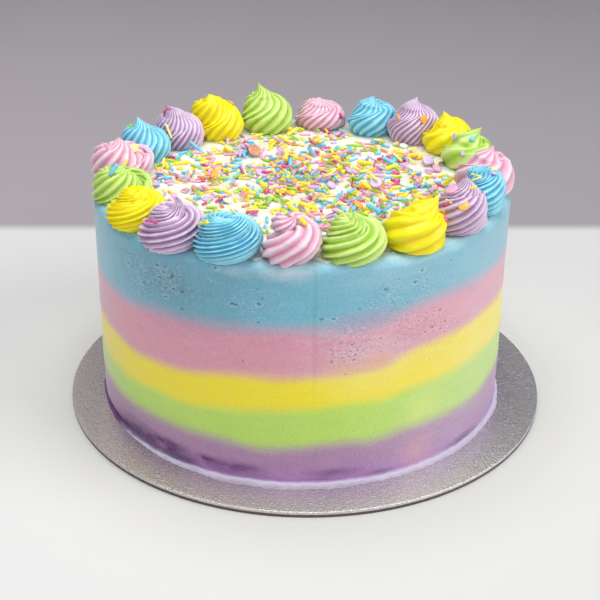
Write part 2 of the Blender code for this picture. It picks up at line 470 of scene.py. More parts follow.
def lathe(name: str, profile: Section, columns: int, axis: Vector,
          reshape: Optional[Callable[[Skin], Skin]] = None) -> bpy.types.Mesh:
    """Turn a half section round an axis into a closed skin.

    Args:
        name: the mesh's name.
        profile: radius and height from the axis at the top, down the outside, to the axis below.
        columns: how many steps round.
        axis: where the axis stands.
        reshape: makes another skin of the even one.

    Returns:
        The mesh, closed at both poles.
    """
    inner = np.array(profile[1:-1])
    angles = np.linspace(0, math.tau, columns, endpoint=False)[None, :].repeat(len(inner), 0)
    skin = Skin(angles, inner[:, :1].repeat(columns, 1), inner[:, 1:].repeat(columns, 1))
    if reshape:
        skin = reshape(skin)
    across = axis.x + skin.radii * np.cos(angles)
    along = axis.y + skin.radii * np.sin(angles)
    rings = np.stack([across, along, skin.heights], -1)
    top = (axis.x, axis.y, profile[0][1])
    bottom = (axis.x, axis.y, profile[-1][1])
    points = np.concatenate([[top], rings.reshape(-1, 3), [bottom]])
    faces = ring_faces(len(inner), columns, 1)
    last = 1 + (len(inner) - 1) * columns
    for column in range(columns):
        ahead = (column + 1) % columns
        faces.append((0, 1 + column, 1 + ahead))
        faces.append((len(points) - 1, last + ahead, last + column))
    return mesh_of(name, points, faces)


def run(start: tuple[float, float], end: tuple[float, float], step: float) -> Section:
    """A straight run of a half section in steps of about one length.

    Args:
        start: the radius and height it starts from, which is left out.
        end: the radius and height it ends at.
        step: how long a step is at most, give or take.

    Returns:
        The points.
    """
    (r0, z0), (r1, z1) = start, end
    pieces = max(1, round(math.hypot(r1 - r0, z1 - z0) / step))
    return [(r0 + (r1 - r0) * i / pieces, z0 + (z1 - z0) * i / pieces) for i in range(1, pieces + 1)]


def arc(middle: tuple[float, float], radius: float, start: float, end: float, pieces: int) -> Section:
    """Points of an arc in a half section, its angles in degrees."""
    turns = [math.radians(start + (end - start) * i / pieces) for i in range(pieces + 1)]
    return [(middle[0] + radius * math.cos(t), middle[1] + radius * math.sin(t)) for t in turns]


def joined(items: Iterable[bpy.types.Object]) -> tuple[list[Vector], list[Face]]:
    """Take several objects as one.

    Args:
        items: the objects.

    Returns:
        All their points and faces.
    """
    points: list[Vector] = []
    faces: list[Face] = []
    for item in items:
        first = len(points)
        points += [vertex.co.copy() for vertex in item.data.vertices]
        faces += [tuple(first + index for index in face.vertices) for face in item.data.polygons]
    return points, faces


def settle_piece(piece: bpy.types.Object, nodes: Iterable[str] = ()) -> bpy.types.Object:
    """Join a finished piece to the model and say so.

    Args:
        piece: the piece, in place.
        nodes: the solids that it stands for.

    Returns:
        The same piece.
    """
    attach(piece, "root")
    if nodes:
        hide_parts(*nodes)
    LOG.info("%s: %d faces", piece.name, len(piece.data.polygons))
    return piece


# ---- Camera, floor and light ----


@dataclass(frozen=True)
class Viewpoint:
    """The camera, where the photograph was taken from. The frame is taken as 600 pixels square."""

    place: Vector = Vector((0.0, -585.2 * MM, 342.0 * MM))
    ahead: Vector = Vector((-0.00474, 0.89416, -0.44772))
    roll: float = math.radians(0.52)
    focal_pixels: float = 1217.7
    frame_pixels: float = 600.0
    sensor: float = 36.0

    def axes(self) -> tuple[Vector, Vector, Vector]:
        """The camera's right, up and ahead directions."""
        ahead = self.ahead.normalized()
        level = ahead.cross(Vector((0, 0, 1))).normalized()
        upright = level.cross(ahead)
        right = level * math.cos(self.roll) + upright * math.sin(self.roll)
        return right, right.cross(ahead), ahead

    def build(self) -> None:
        """Make the camera and look through it."""
        right, up, ahead = self.axes()
        lens = bpy.data.cameras.new("viewpoint")
        lens.sensor_width = self.sensor
        lens.lens = self.sensor * self.focal_pixels / self.frame_pixels
        camera = bpy.data.objects.new("viewpoint", lens)
        turn = Matrix((right, up, -ahead)).transposed().to_4x4()
        camera.matrix_world = Matrix.Translation(self.place) @ turn
        bpy.context.scene.collection.objects.link(camera)
        bpy.context.scene.camera = camera

    def sight(self, across: float, down: float) -> Vector:
        """The direction in which a point of the picture lies.

        Args:
            across: pixels from the left edge.
            down: pixels from the top edge.

        Returns:
            The direction from the camera, of length one.
        """
        right, up, ahead = self.axes()
        half = self.frame_pixels / 2
        return (ahead * self.focal_pixels + right * (across - half) + up * (half - down)).normalized()


@dataclass(frozen=True)
class StudioPaper:
    """Matt background paper, a little deeper in tone to the right, that may fade out at its back edge."""

    name: str
    left: Colour
    right: Colour
    fades_to: Optional["StudioPaper"] = None
    edge: float = 0.0
    slant: float = 0.0
    fade: tuple[float, float] = (-11 * MM, 6 * MM)
    tone_reach: float = 0.3
    clouds: Grain = Grain(0.35, 2)
    cloud_share: float = 0.06
    cloud: Colour = (0.5, 0.5, 0.5, 1.0)

    def tone(self, paint: Paint) -> Field:
        """The paper's colour with a faint unevenness.

        Args:
            paint: the material under construction.

        Returns:
            The colour.
        """
        across = paint.place.part("X").over(-self.tone_reach, self.tone_reach)
        colour = paint.mixed(across, self.left, self.right)
        return paint.mixed(paint.noise(paint.place, *self.clouds) * self.cloud_share, colour, self.cloud)

    def material(self) -> bpy.types.Material:
        """The paper's material."""
        paint = Paint(self.name)
        colour = self.tone(paint)
        if self.fades_to:
            past = paint.place.part("Y") - paint.place.part("X") * self.slant - self.edge
            colour = paint.mixed(past.over(*self.fade, soft=True), colour, self.fades_to.tone(paint))
        return paint.dress({"Base Color": colour, "Roughness": 0.85, "Specular IOR Level": 0.2})


@dataclass(frozen=True)
class Softbox:
    """One large soft lamp: its place, the size of its face, its power and its colour."""

    name: str
    place: Vector
    size: float
    power: float
    colour: tuple[float, float, float] = (1.0, 1.0, 1.0)

    def build(self, target: Vector) -> None:
        """Hang the lamp.

        Args:
            target: the point that it faces.
        """
        light = bpy.data.lights.new(self.name, "AREA")
        light.shape = "DISK"
        light.size = self.size
        light.energy = self.power
        light.color = self.colour
        lamp = bpy.data.objects.new(self.name, light)
        turn = (target - self.place).to_track_quat("-Z", "Y").to_matrix().to_4x4()
        lamp.matrix_world = Matrix.Translation(self.place) @ turn
        bpy.context.scene.collection.objects.link(lamp)


@dataclass(frozen=True)
class Studio:
    """Pale paper on a grey floor, soft lamps and an even grey surround."""

    paper_width: float = 3.2
    paper_front: float = -1.6
    paper_back: float = 0.2157
    paper_slant: float = 0.0286
    past_edge: float = 7 * MM
    ground_width: float = 9.0
    ground_drop: float = 1 * MM
    ground_tones: tuple[Colour, Colour] = ((0.355, 0.327, 0.355, 1.0), (0.305, 0.284, 0.31, 1.0))
    paper_tones: tuple[Colour, Colour] = ((0.665, 0.665, 0.668, 1.0), (0.60, 0.60, 0.605, 1.0))
    surround: Colour = (0.46, 0.45, 0.47, 1.0)
    surround_strength: float = 0.12
    target: Vector = Vector((0, 0, 60 * MM))
    lamps: tuple[Softbox, ...] = (
        Softbox("window", Vector((1.8, -0.5, 1.2)), 1.6, 29.5, (1.0, 0.99, 0.975)),
        Softbox("ceiling", Vector((-0.1, 0.1, 1.7)), 1.5, 25.5),
        Softbox("front_fill", Vector((0.2, -1.7, 1.1)), 1.4, 11.0),
        Softbox("left_fill", Vector((-1.4, -1.2, 1.0)), 1.4, 8.5),
        Softbox("back_fill", Vector((-1.0, 1.6, 1.5)), 1.6, 3.0),
    )

    def sheet(self, box: tuple[float, float, float, float], level: float, paper: StudioPaper) -> None:
        """Lay one flat sheet of paper.

        Args:
            box: its left, right, front and back edges.
            level: its height.
            paper: its finish.
        """
        left, right, front, back = box
        corners = np.array([
            (left, front, level),
            (right, front, level),
            (right, back + right * paper.slant, level),
            (left, back + left * paper.slant, level),
        ])
        item = new_item(paper.name, mesh_of(paper.name, corners, [(0, 1, 2, 3)]))
        item.data.materials.append(paper.material())

    def build(self) -> None:
        """Lay the papers, hang the lamps and light the surround."""
        ground = StudioPaper("grey_ground", *self.ground_tones)
        paper = StudioPaper("pale_paper", *self.paper_tones, ground, self.paper_back, self.paper_slant)
        half = self.paper_width / 2
        self.sheet((-half, half, self.paper_front, self.paper_back + self.past_edge), 0.0, paper)
        half = self.ground_width / 2
        self.sheet((-half, half, -half, half), -self.ground_drop, ground)
        for lamp in self.lamps:
            lamp.build(self.target)
        world = bpy.data.worlds.new("surround")
        world.use_nodes = True
        backdrop = world.node_tree.nodes["Background"]
        backdrop.inputs["Color"].default_value = self.surround
        backdrop.inputs["Strength"].default_value = self.surround_strength
        bpy.context.scene.world = world
        bpy.context.scene.view_settings.view_transform = "Standard"


# ---- Finishes ----


class Tint(Enum):
    """The five icing colours."""

    PINK = "pink"
    GREEN = "green"
    YELLOW = "yellow"
    PURPLE = "purple"
    BLUE = "blue"


@dataclass(frozen=True)
class PipedIcing:
    """Buttercream squeezed through a star nozzle, with a painted highlight on the ridges and painted shade
    deeper in the creases.
    """

    tint: Tint
    # The ridge colour carries a painted highlight and the crease colour painted shade.
    ridge: Colour
    crease: Colour
    roughness: float = 0.42
    softness: float = 0.12
    clouds: Grain = Grain(6 * MM, 3)
    grains: Grain = Grain(0.7 * MM, 2)
    grain_depth: float = 0.10 * MM

    def material(self) -> bpy.types.Material:
        """The icing's material. It reads how deep in a crease each point lies from the mesh."""
        paint = Paint(f"{self.tint.value}_icing")
        cloudy = paint.noise(paint.place, *self.clouds)
        grainy = paint.noise(paint.place, *self.grains)
        # Painted shade and highlight: the colour runs from the lit ridge to the shaded crease by how deep in
        # a crease each point lies.
        share = (paint.kept("crease") ** 0.8 + (cloudy - 0.5) * 0.35).most(0.0).least(1.0)
        colour = paint.mixed(share, self.ridge, self.crease)
        return paint.dress({
            "Base Color": colour,
            "Roughness": self.roughness + (cloudy - 0.5) * 0.15,
            "Normal": paint.relief(grainy, self.grain_depth),
            "Subsurface Weight": self.softness,
            "Subsurface Radius": (1.0, 0.8, 0.7),
            "Subsurface Scale": 1.2 * MM,
        })


class BandEdge(NamedTuple):
    """The upper edge of a colour band: the colour above it, how soft it is and its heights in mm."""

    above: Colour
    softness: float
    heights: tuple[float, ...]


class Patch(NamedTuple):
    """An oval patch on the side: its angle in degrees, its height, half width and half height in mm."""

    angle: float
    height: float
    wide: float
    tall: float
    strength: float

    def share(self, angles: np.ndarray, heights: np.ndarray) -> np.ndarray:
        """How much of the patch is felt at points of the side.

        Args:
            angles: the angle of each point.
            heights: the height of each point.

        Returns:
            A share for each point, from 0 at the patch's edge to 1 in its middle.
        """
        turned = (angles - math.radians(self.angle) + math.pi) % math.tau - math.pi
        along = turned * CAKE_RADIUS / (self.wide * MM)
        up = (heights - self.height * MM) / (self.tall * MM)
        return np.clip(1 - np.hypot(along, up), 0, 1)


# Where the side has its marks. Those in front are where they can be seen, and those at the back go on
# in the same way.
PITTED = (
    Patch(234.5, 100, 10, 11, 0.55), Patch(239.5, 106.5, 1.8, 4.5, 0.8), Patch(249, 109, 6, 6, 0.3),
    Patch(255, 105, 4, 2.4, 0.6), Patch(258, 97, 13, 10, 0.16), Patch(292.5, 101, 8, 9, 0.35),
    Patch(302, 103, 9, 8, 0.5), Patch(278, 91, 7, 2.2, 0.7), Patch(282.5, 72.5, 12, 11, 0.75),
    Patch(291, 77, 12, 6, 0.4), Patch(306.5, 79.5, 17, 10, 0.42), Patch(303.5, 64, 11, 6, 0.4),
    Patch(20, 95, 15, 10, 0.4), Patch(60, 75, 13, 9, 0.5), Patch(95, 60, 11, 8, 0.4),
    Patch(130, 100, 12, 9, 0.5), Patch(165, 86, 12, 9, 0.45),
)
# Hollows at the foot: each dents the side, and its colour is darkened there with painted shade.
SHADED_HOLLOWS = (
    Patch(212, 3.5, 30, 4.5, 1.0), Patch(220, 6.5, 16, 5.5, 0.9), Patch(227, 9.5, 13, 4.5, 1.0),
    Patch(233.5, 11, 9, 3.2, 0.9), Patch(235.5, 4, 15, 6.5, 1.0), Patch(245, 9.5, 10, 3.4, 0.75),
    Patch(254.5, 9, 17, 3.0, 0.6), Patch(279, 8.5, 20, 3.6, 0.42), Patch(277, 5, 16, 2.4, 0.35),
    Patch(291, 5, 16, 2.6, 0.4), Patch(321, 5, 22, 4.0, 0.5), Patch(20, 7, 26, 6.0, 0.5),
    Patch(75, 9, 22, 5.0, 0.5), Patch(140, 6, 26, 6.0, 0.5), Patch(221, 5, 30, 12.0, 0.85),
    Patch(235, 5, 22, 11.0, 0.75), Patch(252, 8, 26, 6.0, 0.5),
)
# Painted sheen: tall pale stretches round the side, strongest to the right, and a painted highlight along the
# rim under the front swirls.
PAINTED_SHEEN = (
    Patch(322, 60, 75, 400, 0.15), Patch(15, 60, 60, 400, 0.12), Patch(190, 60, 45, 400, 0.08),
    Patch(95, 60, 90, 400, 0.06), Patch(297, 112, 60, 16, 0.18), Patch(267, 113.5, 18, 5.5, 0.6),
    Patch(254.5, 112.5, 11, 4, 0.35), Patch(289, 73, 42, 30, 0.26),
)
PEBBLY = (
    Patch(283, 78, 19, 17, 1.3), Patch(297, 80, 24, 15, 0.9), Patch(292, 98, 18, 12, 0.9),
    Patch(225, 100, 26, 18, 1.1), Patch(240, 100, 20, 14, 0.7), Patch(262, 96, 20, 12, 0.4),
    Patch(308, 66, 20, 10, 0.6), Patch(60, 75, 24, 16, 1.0), Patch(130, 98, 24, 14, 1.0),
)
LILAC_BLENDS = (
    Patch(283.5, 89, 13, 6.5, 0.75), Patch(289.5, 90, 14, 7, 0.85), Patch(253, 86, 26, 5, 0.4),
)
PEACH_BLENDS = (
    Patch(281.5, 65.5, 14, 6.0, 0.75), Patch(289.5, 67, 14, 6.5, 0.85), Patch(262, 61.5, 24, 5, 0.4),
)
SIDE_MARKS: dict[str, tuple[Patch, ...]] = {
    "pitted": PITTED,
    "hollow": SHADED_HOLLOWS,
    "pale_and_sheen": PAINTED_SHEEN,
    "pebbly": PEBBLY,
    "lilac": LILAC_BLENDS,
    "peach": PEACH_BLENDS,
    # Painted contact shadow: a dark line where the wall meets the foil at the left.
    "contact_shadow": (Patch(196, 3.5, 50, 5.0, 1.0),),
    "sunny": (Patch(303.5, 35, 15, 13, 0.5),),
    "blush": (Patch(302.5, 10.5, 15, 15, 0.55),),
    # Painted shade on the blue band at the left of the front.
    "shaded_blue": (Patch(238, 99, 46, 27, 0.6), Patch(252, 108, 40, 14, 0.35)),
}


class SidePaint(Paint):
    """A material for the cake's side, with each point's place measured from the cake's axis."""

    def __init__(self, name: str) -> None:
        """Start the material. The turn is a point's share of the way round.

        Args:
            name: the material's name.
        """
        super().__init__(name)
        spot = self.vector("SUBTRACT", self.place, tuple(CAKE_AXIS))
        self.across, self.along, self.up = (spot.part(axis) for axis in "XYZ")
        self.radius = self.vector("LENGTH", self.point(self.across, self.along, 0.0), out="Value")
        turn = self.maths("ARCTAN2", self.along, self.across) / math.tau
        self.turn = turn - self.maths("FLOOR", turn)

    def drawn(self, by: float) -> Field:
        """The place with its height times a number, so that marks read there are drawn out sideways."""
        return self.point(self.across, self.along, self.up * by)

    def oval(self, angle: float, height: float, wide: float, tall: float) -> Field:
        """How far inside an oval on the side each point is.

        Args:
            angle: where its middle is, in degrees round the axis.
            height: how high its middle is, in mm.
            wide: half its width, in mm.
            tall: half its height, in mm.

        Returns:
            1 in the middle, and 0 at the edge and outside.
        """
        along = (self.turn - angle / 360) * (math.tau * CAKE_RADIUS / (wide * MM))
        up = (self.up - height * MM) / (tall * MM)
        return (1 - self.vector("LENGTH", self.point(along, up, 0.0), out="Value")).most(0.0)


@dataclass(frozen=True)
class SideCoat:
    """Smoothed buttercream whose colours were blended round the side, with pits where air was caught.

    The pits lie in cells that are squeezed sideways, stretched upwards and slanted by the drag of the
    scraper. A pit takes up a share of its cell, from the least up to as much more, and how many cells
    have one rises with how pitted the side is. A hole by itself is an angle, a height and a half width.
    """

    foot: Colour = screen(170, 130, 166)
    violet: Colour = screen(174, 116, 188)
    rim: Colour = screen(225, 240, 242)
    smear: Colour = screen(214, 212, 232)
    thin: Colour = screen(172, 164, 176)
    # The colour of the painted shade in the hollows and at the foot.
    shade: Colour = screen(84, 20, 98)
    # Pale colour for the painted sheen, and for the grain's lighter flecks.
    pale_and_sheen: Colour = screen(226, 226, 232)
    blush: Colour = screen(214, 165, 172)
    blends: tuple[tuple[str, Colour, float], ...] = (
        ("sunny", screen(222, 232, 130), 1.0),
        ("lilac", screen(168, 152, 182), 0.6),
        ("peach", screen(228, 176, 138), 0.6),
        # Darker blue for the painted shade at the left of the front.
        ("shaded_blue", screen(84, 126, 150), 1.0),
    )
    edges: tuple[BandEdge, ...] = (
        BandEdge(screen(182, 218, 92), 5.0, (
            29, 28, 26, 23, 20.5, 23.5, 23, 23, 23.5, 23.5,
            23.5, 21.5, 23.5, 25.5, 24.5, 27, 26.5, 26, 29, 29)),
        BandEdge(screen(241, 222, 8), 4.5, (
            50, 50.5, 47.5, 43.5, 39, 38, 37.5, 37, 38.5, 38.5,
            40.5, 42, 43.5, 45.5, 45.5, 48, 48.5, 50.5, 49.5, 50)),
        BandEdge(screen(214, 147, 167), 4.0, (
            67, 65.5, 62.5, 58.5, 54, 56, 56.5, 54.5, 55, 56,
            59, 60, 60.5, 62, 64, 69, 70, 71.5, 71.5, 67)),
        BandEdge(screen(109, 177, 198), 5.5, (
            91, 89.5, 87.5, 84, 80.5, 80, 81, 81.5, 83.5, 84,
            84, 85.5, 86, 85.5, 87.5, 92, 93.5, 93, 92, 91)),
    )
    edge_angles: tuple[float, ...] = (
        0, 45, 90, 135, 180, 200, 212, 222, 230, 240, 250, 260, 270, 280, 290, 300, 312, 325, 335, 360)
    height_scale: float = 0.12
    violet_reach: tuple[float, float] = (18 * MM, 5 * MM)
    violet_share: float = 0.6
    waves: Grain = Grain(30 * MM, 3)
    wave_height: float = 3.5 * MM
    streaks: Grain = Grain(9 * MM, 3, 5.0)
    streak_height: float = 1.8 * MM
    mottling: Grain = Grain(14 * MM, 4, 2.0)
    fraying: Grain = Grain(5 * MM, 3, 4.0)
    tears: Grain = Grain(9 * MM, 3, 9.0)
    grains: Grain = Grain(0.9 * MM, 2)
    drags: Grain = Grain(2.6 * MM, 3, 6.0)
    pebbles: Grain = Grain(1.7 * MM, 2, 8.0)
    shade_share: float = 0.92
    relief_depth: float = 0.6 * MM
    pit_spacing: float = 3.0 * MM
    pit_shaking: Grain = Grain(1.8 * MM, 1.0)
    pit_shift: float = 1.1 * MM
    pit_squeeze: float = 0.75
    pit_stretch: float = 1.2
    pit_slant: float = 0.14
    pit_least: float = 0.20
    pit_more: float = 0.30
    pit_crowd: float = 1.9
    pit_stray: float = 0.012
    hole_shape: float = 0.6
    holes: tuple[tuple[float, float, float], ...] = (
        (227, 95, 1.2), (240, 97.5, 1.5), (239.5, 88.5, 1.3), (254.5, 96.5, 1.3), (261, 101, 1.0),
        (260, 89, 1.0), (291, 103.5, 1.6), (310, 110, 0.9), (284.5, 95.5, 1.0), (256, 68, 0.8),
        (237, 104, 1.4), (233, 101, 1.2),
    )

    def pits(self, paint: SidePaint) -> tuple[Field, Field]:
        """Where small holes lie: single ones, and many close together in a few patches.

        Args:
            paint: the material under construction.

        Returns:
            1 in the middle of a hole and 0 outside, and how near a hole's rim is, where a painted highlight
            goes.
        """
        drag = paint.turn * (math.tau * CAKE_RADIUS)
        wrap = paint.point(drag * self.pit_squeeze, paint.up * self.pit_stretch - drag * self.pit_slant, 0.0)
        values = {"Vector": wrap, "Scale": 1 / self.pit_shaking.size, "Detail": self.pit_shaking.detail}
        shaken = paint.add("ShaderNodeTexNoise", {}, values, "Color")
        wrap = paint.vector("ADD", wrap, paint.stretched(shaken, self.pit_shift))
        settings = {"feature": "F1", "voronoi_dimensions": "2D"}
        cell = paint.add("ShaderNodeTexVoronoi", settings, {"Vector": wrap, "Scale": 1 / self.pit_spacing})
        lot = Field(paint, cell.socket.node.outputs["Color"])
        size = lot.part("Y") ** 2.0 * self.pit_more + self.pit_least
        crowd = paint.kept("pitted") * self.pit_crowd + self.pit_stray
        there = (crowd - lot.part("X")).over(0.0, 0.05)
        spots = (cell / size).over(1.0, 0.2, soft=True) * there
        rim_highlights = (cell / size).over(2.2, 1.1, soft=True) * there
        for angle, height, wide in self.holes:
            spots = spots.most(paint.oval(angle, height, wide, wide * self.hole_shape).over(0.0, 0.6))
        return spots, rim_highlights

    def banded(self, paint: SidePaint) -> Field:
        """Lay the five colours one above the other, with wavy and streaky edges.

        Args:
            paint: the material under construction.

        Returns:
            The colour.
        """
        wavy = paint.noise(paint.drawn(4.0), *self.waves) - 0.5
        streaky = paint.noise(paint.drawn(9.0), *self.streaks) - 0.5
        level = paint.up + wavy * self.wave_height + streaky * self.streak_height
        deep = paint.up.over(*self.violet_reach) * self.violet_share
        colour = paint.mixed(deep, self.foot, self.violet)
        for edge in self.edges:
            points = [(angle / 360, height * MM / self.height_scale)
                      for angle, height in zip(self.edge_angles, edge.heights)]
            curve = paint.add("ShaderNodeFloatCurve", {"points": points}, {"Value": paint.turn})
            past = level - curve * self.height_scale
            reach = edge.softness * MM
            colour = paint.mixed(past.over(-reach, reach, soft=True), colour, edge.above)
        return colour

    def blended(self, paint: SidePaint, colour: Field, mottled: Field, frayed: Field) -> Field:
        """Blend in the places where the colours ran into one another, and lay on painted sheen and painted
        shade.

        Args:
            paint: the material under construction.
            colour: the bands.
            mottled: slow unevenness, from 0 to 1.
            frayed: quick unevenness, from -0.5 to 0.5.

        Returns:
            The colour.
        """
        # Painted sheen where the sheen patches lie, its strength varied by the mottling.
        colour = paint.mixed(paint.kept("pale_and_sheen") * (mottled + 0.5), colour, self.pale_and_sheen)
        for name, tone, most in self.blends:
            colour = paint.mixed(paint.kept(name).least(most), colour, tone)
        colour = paint.mixed((paint.kept("blush") * (frayed * 2.5 + 1.0)).most(0.0), colour, self.blush)
        return paint.mixed((mottled - 0.35).most(0.0) * 0.5, colour, self.rim, "SOFT_LIGHT")

    def edged(self, paint: SidePaint, colour: Field, frayed: Field) -> Field:
        """Lighten the rim above, paint shade into the hollows and along the wall's foot below, and lay the
        thin smear on the foil.

        Args:
            paint: the material under construction.
            colour: the blended bands.
            frayed: quick unevenness, from -0.5 to 0.5.

        Returns:
            The colour.
        """
        crown = (paint.up + frayed * (2.0 * MM)).over(RIM_LEVEL - 3.2 * MM, RIM_LEVEL - 0.2 * MM)
        inward = (paint.radius + frayed * (3 * MM)).over(CAKE_RADIUS - 1 * MM, CAKE_RADIUS - 5 * MM)
        colour = paint.mixed(crown * (0.06 + 0.24 * inward), colour, self.rim)
        torn = paint.noise(paint.drawn(2.6), *self.tears)
        hollow = paint.kept("hollow")
        # Painted contact shadow along the foot; no smear is laid where it is.
        painted_contact_shadow = paint.kept("contact_shadow").over(0.1, 0.5)
        low = paint.up.over(BODY_BASE + 3.2 * MM, BODY_BASE + 1.2 * MM)
        wall = paint.radius.over(CAKE_RADIUS + 0.6 * MM, CAKE_RADIUS - 0.2 * MM)
        # Painted shade: the hollows, the contact line and the corner where the wall meets the foil are
        # darkened.
        dark = (hollow.over(0.0, 0.6) * torn.over(0.15, 0.56)).over(0.06, 0.9)
        dark = dark.most(painted_contact_shadow).most(hollow.over(0.1, 0.5) * low * wall)
        colour = paint.mixed(dark * self.shade_share, colour, self.shade)
        skirt = (paint.radius + frayed * (2.0 * MM)).over(CAKE_RADIUS, CAKE_RADIUS + 1.2 * MM)
        worn = (paint.radius + frayed * (4.0 * MM)).over(CAKE_RADIUS + 1.4 * MM, CAKE_RADIUS + 4.2 * MM)
        share = low * (0.15 + 0.85 * skirt) * (0.45 + torn).least(0.95) * (1 - painted_contact_shadow)
        return paint.mixed(share, colour, paint.mixed(worn, self.smear, self.thin))

    def grained(self, paint: SidePaint, colour: Field, mottled: Field) -> tuple[Field, Field]:
        """Give the coat its grain, its drag marks, its pebbly patches and its pits, with painted shade in the
        pits and a painted highlight round their rims.

        Args:
            paint: the material under construction.
            colour: the colour so far.
            mottled: slow unevenness, from 0 to 1.

        Returns:
            The colour, and the height of the surface.
        """
        holes, rim_highlights = self.pits(paint)
        grainy = paint.noise(paint.place, *self.grains)
        dragged = paint.noise(paint.drawn(4.0), *self.drags)
        stony = (paint.noise(paint.drawn(1.6), *self.pebbles) - 0.5) * paint.kept("pebbly").least(0.8)
        rough = 1 + paint.kept("pitted") * 2.0
        light = (grainy - 0.5).most(0.0) * 0.55 * rough + stony.most(0.0) * 1.7
        dark = (0.5 - grainy).most(0.0) * 0.8 * rough - stony.least(0.0) * 1.8
        # Painted highlight round the pits' rims, laid with the grain's lighter flecks.
        colour = paint.mixed((light + rim_highlights * 0.18) * (1 - holes), colour, self.pale_and_sheen)
        # Painted shade in the pits: their colour is multiplied by itself.
        for share in (dark, holes * 0.85):
            colour = paint.mixed(share, colour, colour, "MULTIPLY")
        height = grainy * 0.28 * rough + dragged * 0.12 + mottled * 0.35 + stony * 2.2 - holes * 0.16
        return colour, height

    def material(self) -> bpy.types.Material:
        """The coat's material: bands by height round the axis, rim, foot, pits and fine drag marks."""
        paint = SidePaint("side_icing")
        mottled = paint.noise(paint.drawn(4.0), *self.mottling)
        frayed = paint.noise(paint.place, *self.fraying) - 0.5
        colour = self.blended(paint, self.banded(paint), mottled, frayed)
        colour = self.edged(paint, colour, frayed)
        colour, height = self.grained(paint, colour, mottled)
        return paint.dress({
            "Base Color": colour,
            "Roughness": 0.44 + (mottled - 0.5) * 0.2,
            "Sheen Weight": 0.3,
            "Sheen Roughness": 0.5,
            "Normal": paint.relief(height, self.relief_depth),
            "Subsurface Weight": 0.1,
            "Subsurface Radius": (1.0, 0.8, 0.7),
            "Subsurface Scale": 1.5 * MM,
        })


@dataclass(frozen=True)
class WhiteCoat:
    """Ivory buttercream on top, as the palette knife left it."""

    light: Colour = screen(234, 235, 227)
    deep: Colour = screen(227, 224, 206)
    clouds: Grain = Grain(9 * MM, 4)
    grains: Grain = Grain(1.2 * MM, 2)

    def material(self) -> bpy.types.Material:
        """The ivory material."""
        paint = Paint("white_icing")
        cloudy = paint.noise(paint.place, *self.clouds)
        grainy = paint.noise(paint.place, *self.grains)
        colour = paint.mixed(cloudy.over(0.35, 0.7), self.light, self.deep)
        return paint.dress({
            "Base Color": colour,
            "Roughness": 0.45 + (cloudy - 0.5) * 0.2,
            "Normal": paint.relief(cloudy * 0.7 + grainy * 0.2, 0.5 * MM),
            "Subsurface Weight": 0.1,
            "Subsurface Scale": 1.5 * MM,
        })


@dataclass(frozen=True)
class SilverFoil:
    """Foil with a fine embossed grain, laid over the card."""

    metal: Colour = screen(230, 228, 235)
    warm: Colour = screen(222, 211, 212)
    dull: Colour = screen(160, 154, 152)
    creased: Colour = screen(110, 104, 106)
    core: Colour = screen(80, 62, 64)
    core_streak: Colour = screen(116, 100, 98)
    fine: Grain = Grain(0.95 * MM, 2)
    broad: Grain = Grain(7 * MM, 3)
    streaks: Grain = Grain(2.5 * MM, 3)
    cell: float = 1.3 * MM
    grain_depth: float = 0.55 * MM
    warm_reach: tuple[float, float] = (-100 * MM, 50 * MM)
    calm_reach: tuple[float, float] = (-120 * MM, -40 * MM)

    def material(self) -> bpy.types.Material:
        """The foil's material: warmer and with a calmer grain to the left."""
        paint = Paint("silver_foil")
        across = paint.place.part("X")
        fine = paint.noise(paint.place, *self.fine)
        broad = paint.noise(paint.place, *self.broad)
        values = {"Vector": paint.place, "Scale": 1 / self.cell}
        cells = paint.add("ShaderNodeTexVoronoi", {"feature": "F1"}, values)
        colour = paint.mixed(across.over(*self.warm_reach), self.warm, self.metal)
        colour = paint.mixed(broad * 0.25, colour, self.dull)
        colour = paint.mixed(fine.over(0.58, 0.36) * 0.22, colour, self.creased)
        calm = across.over(*self.calm_reach) * 0.5 + 0.5
        return paint.dress({
            "Base Color": colour,
            "Metallic": 0.72,
            "Roughness": 0.20 + broad * 0.08 + fine * 0.05,
            "Normal": paint.relief((fine * 0.7 + cells * 0.3) * calm, self.grain_depth),
        })

    def edge_material(self) -> bpy.types.Material:
        """The card's dark cut edge under the foil."""
        paint = Paint("card_edge")
        colour = paint.mixed(paint.noise(paint.place, *self.streaks), self.core, self.core_streak)
        return paint.dress({"Base Color": colour, "Metallic": 0.5, "Roughness": 0.45})


@dataclass(frozen=True)
class SugarShell:
    """Pressed sugar sprinkles. Each one's colour is kept on its own points."""

    roughness: float = 0.35
    bloom: Colour = (1.0, 1.0, 1.0, 1.0)
    clouds: Grain = Grain(1.5 * MM, 2)
    cloud_depth: float = 0.08 * MM

    def material(self) -> bpy.types.Material:
        """The sugar's material, with a faint bloom."""
        paint = Paint("sugar_shell")
        own = paint.add("ShaderNodeAttribute", {"attribute_name": "tint"}, out="Color")
        cloudy = paint.noise(paint.place, *self.clouds)
        colour = paint.mixed(cloudy.over(0.45, 0.8) * 0.25, own, self.bloom)
        return paint.dress({
            "Base Color": colour,
            "Roughness": self.roughness + (cloudy - 0.5) * 0.15,
            "Normal": paint.relief(cloudy, self.cloud_depth),
        })


# ---- Card, side coat and white coat ----


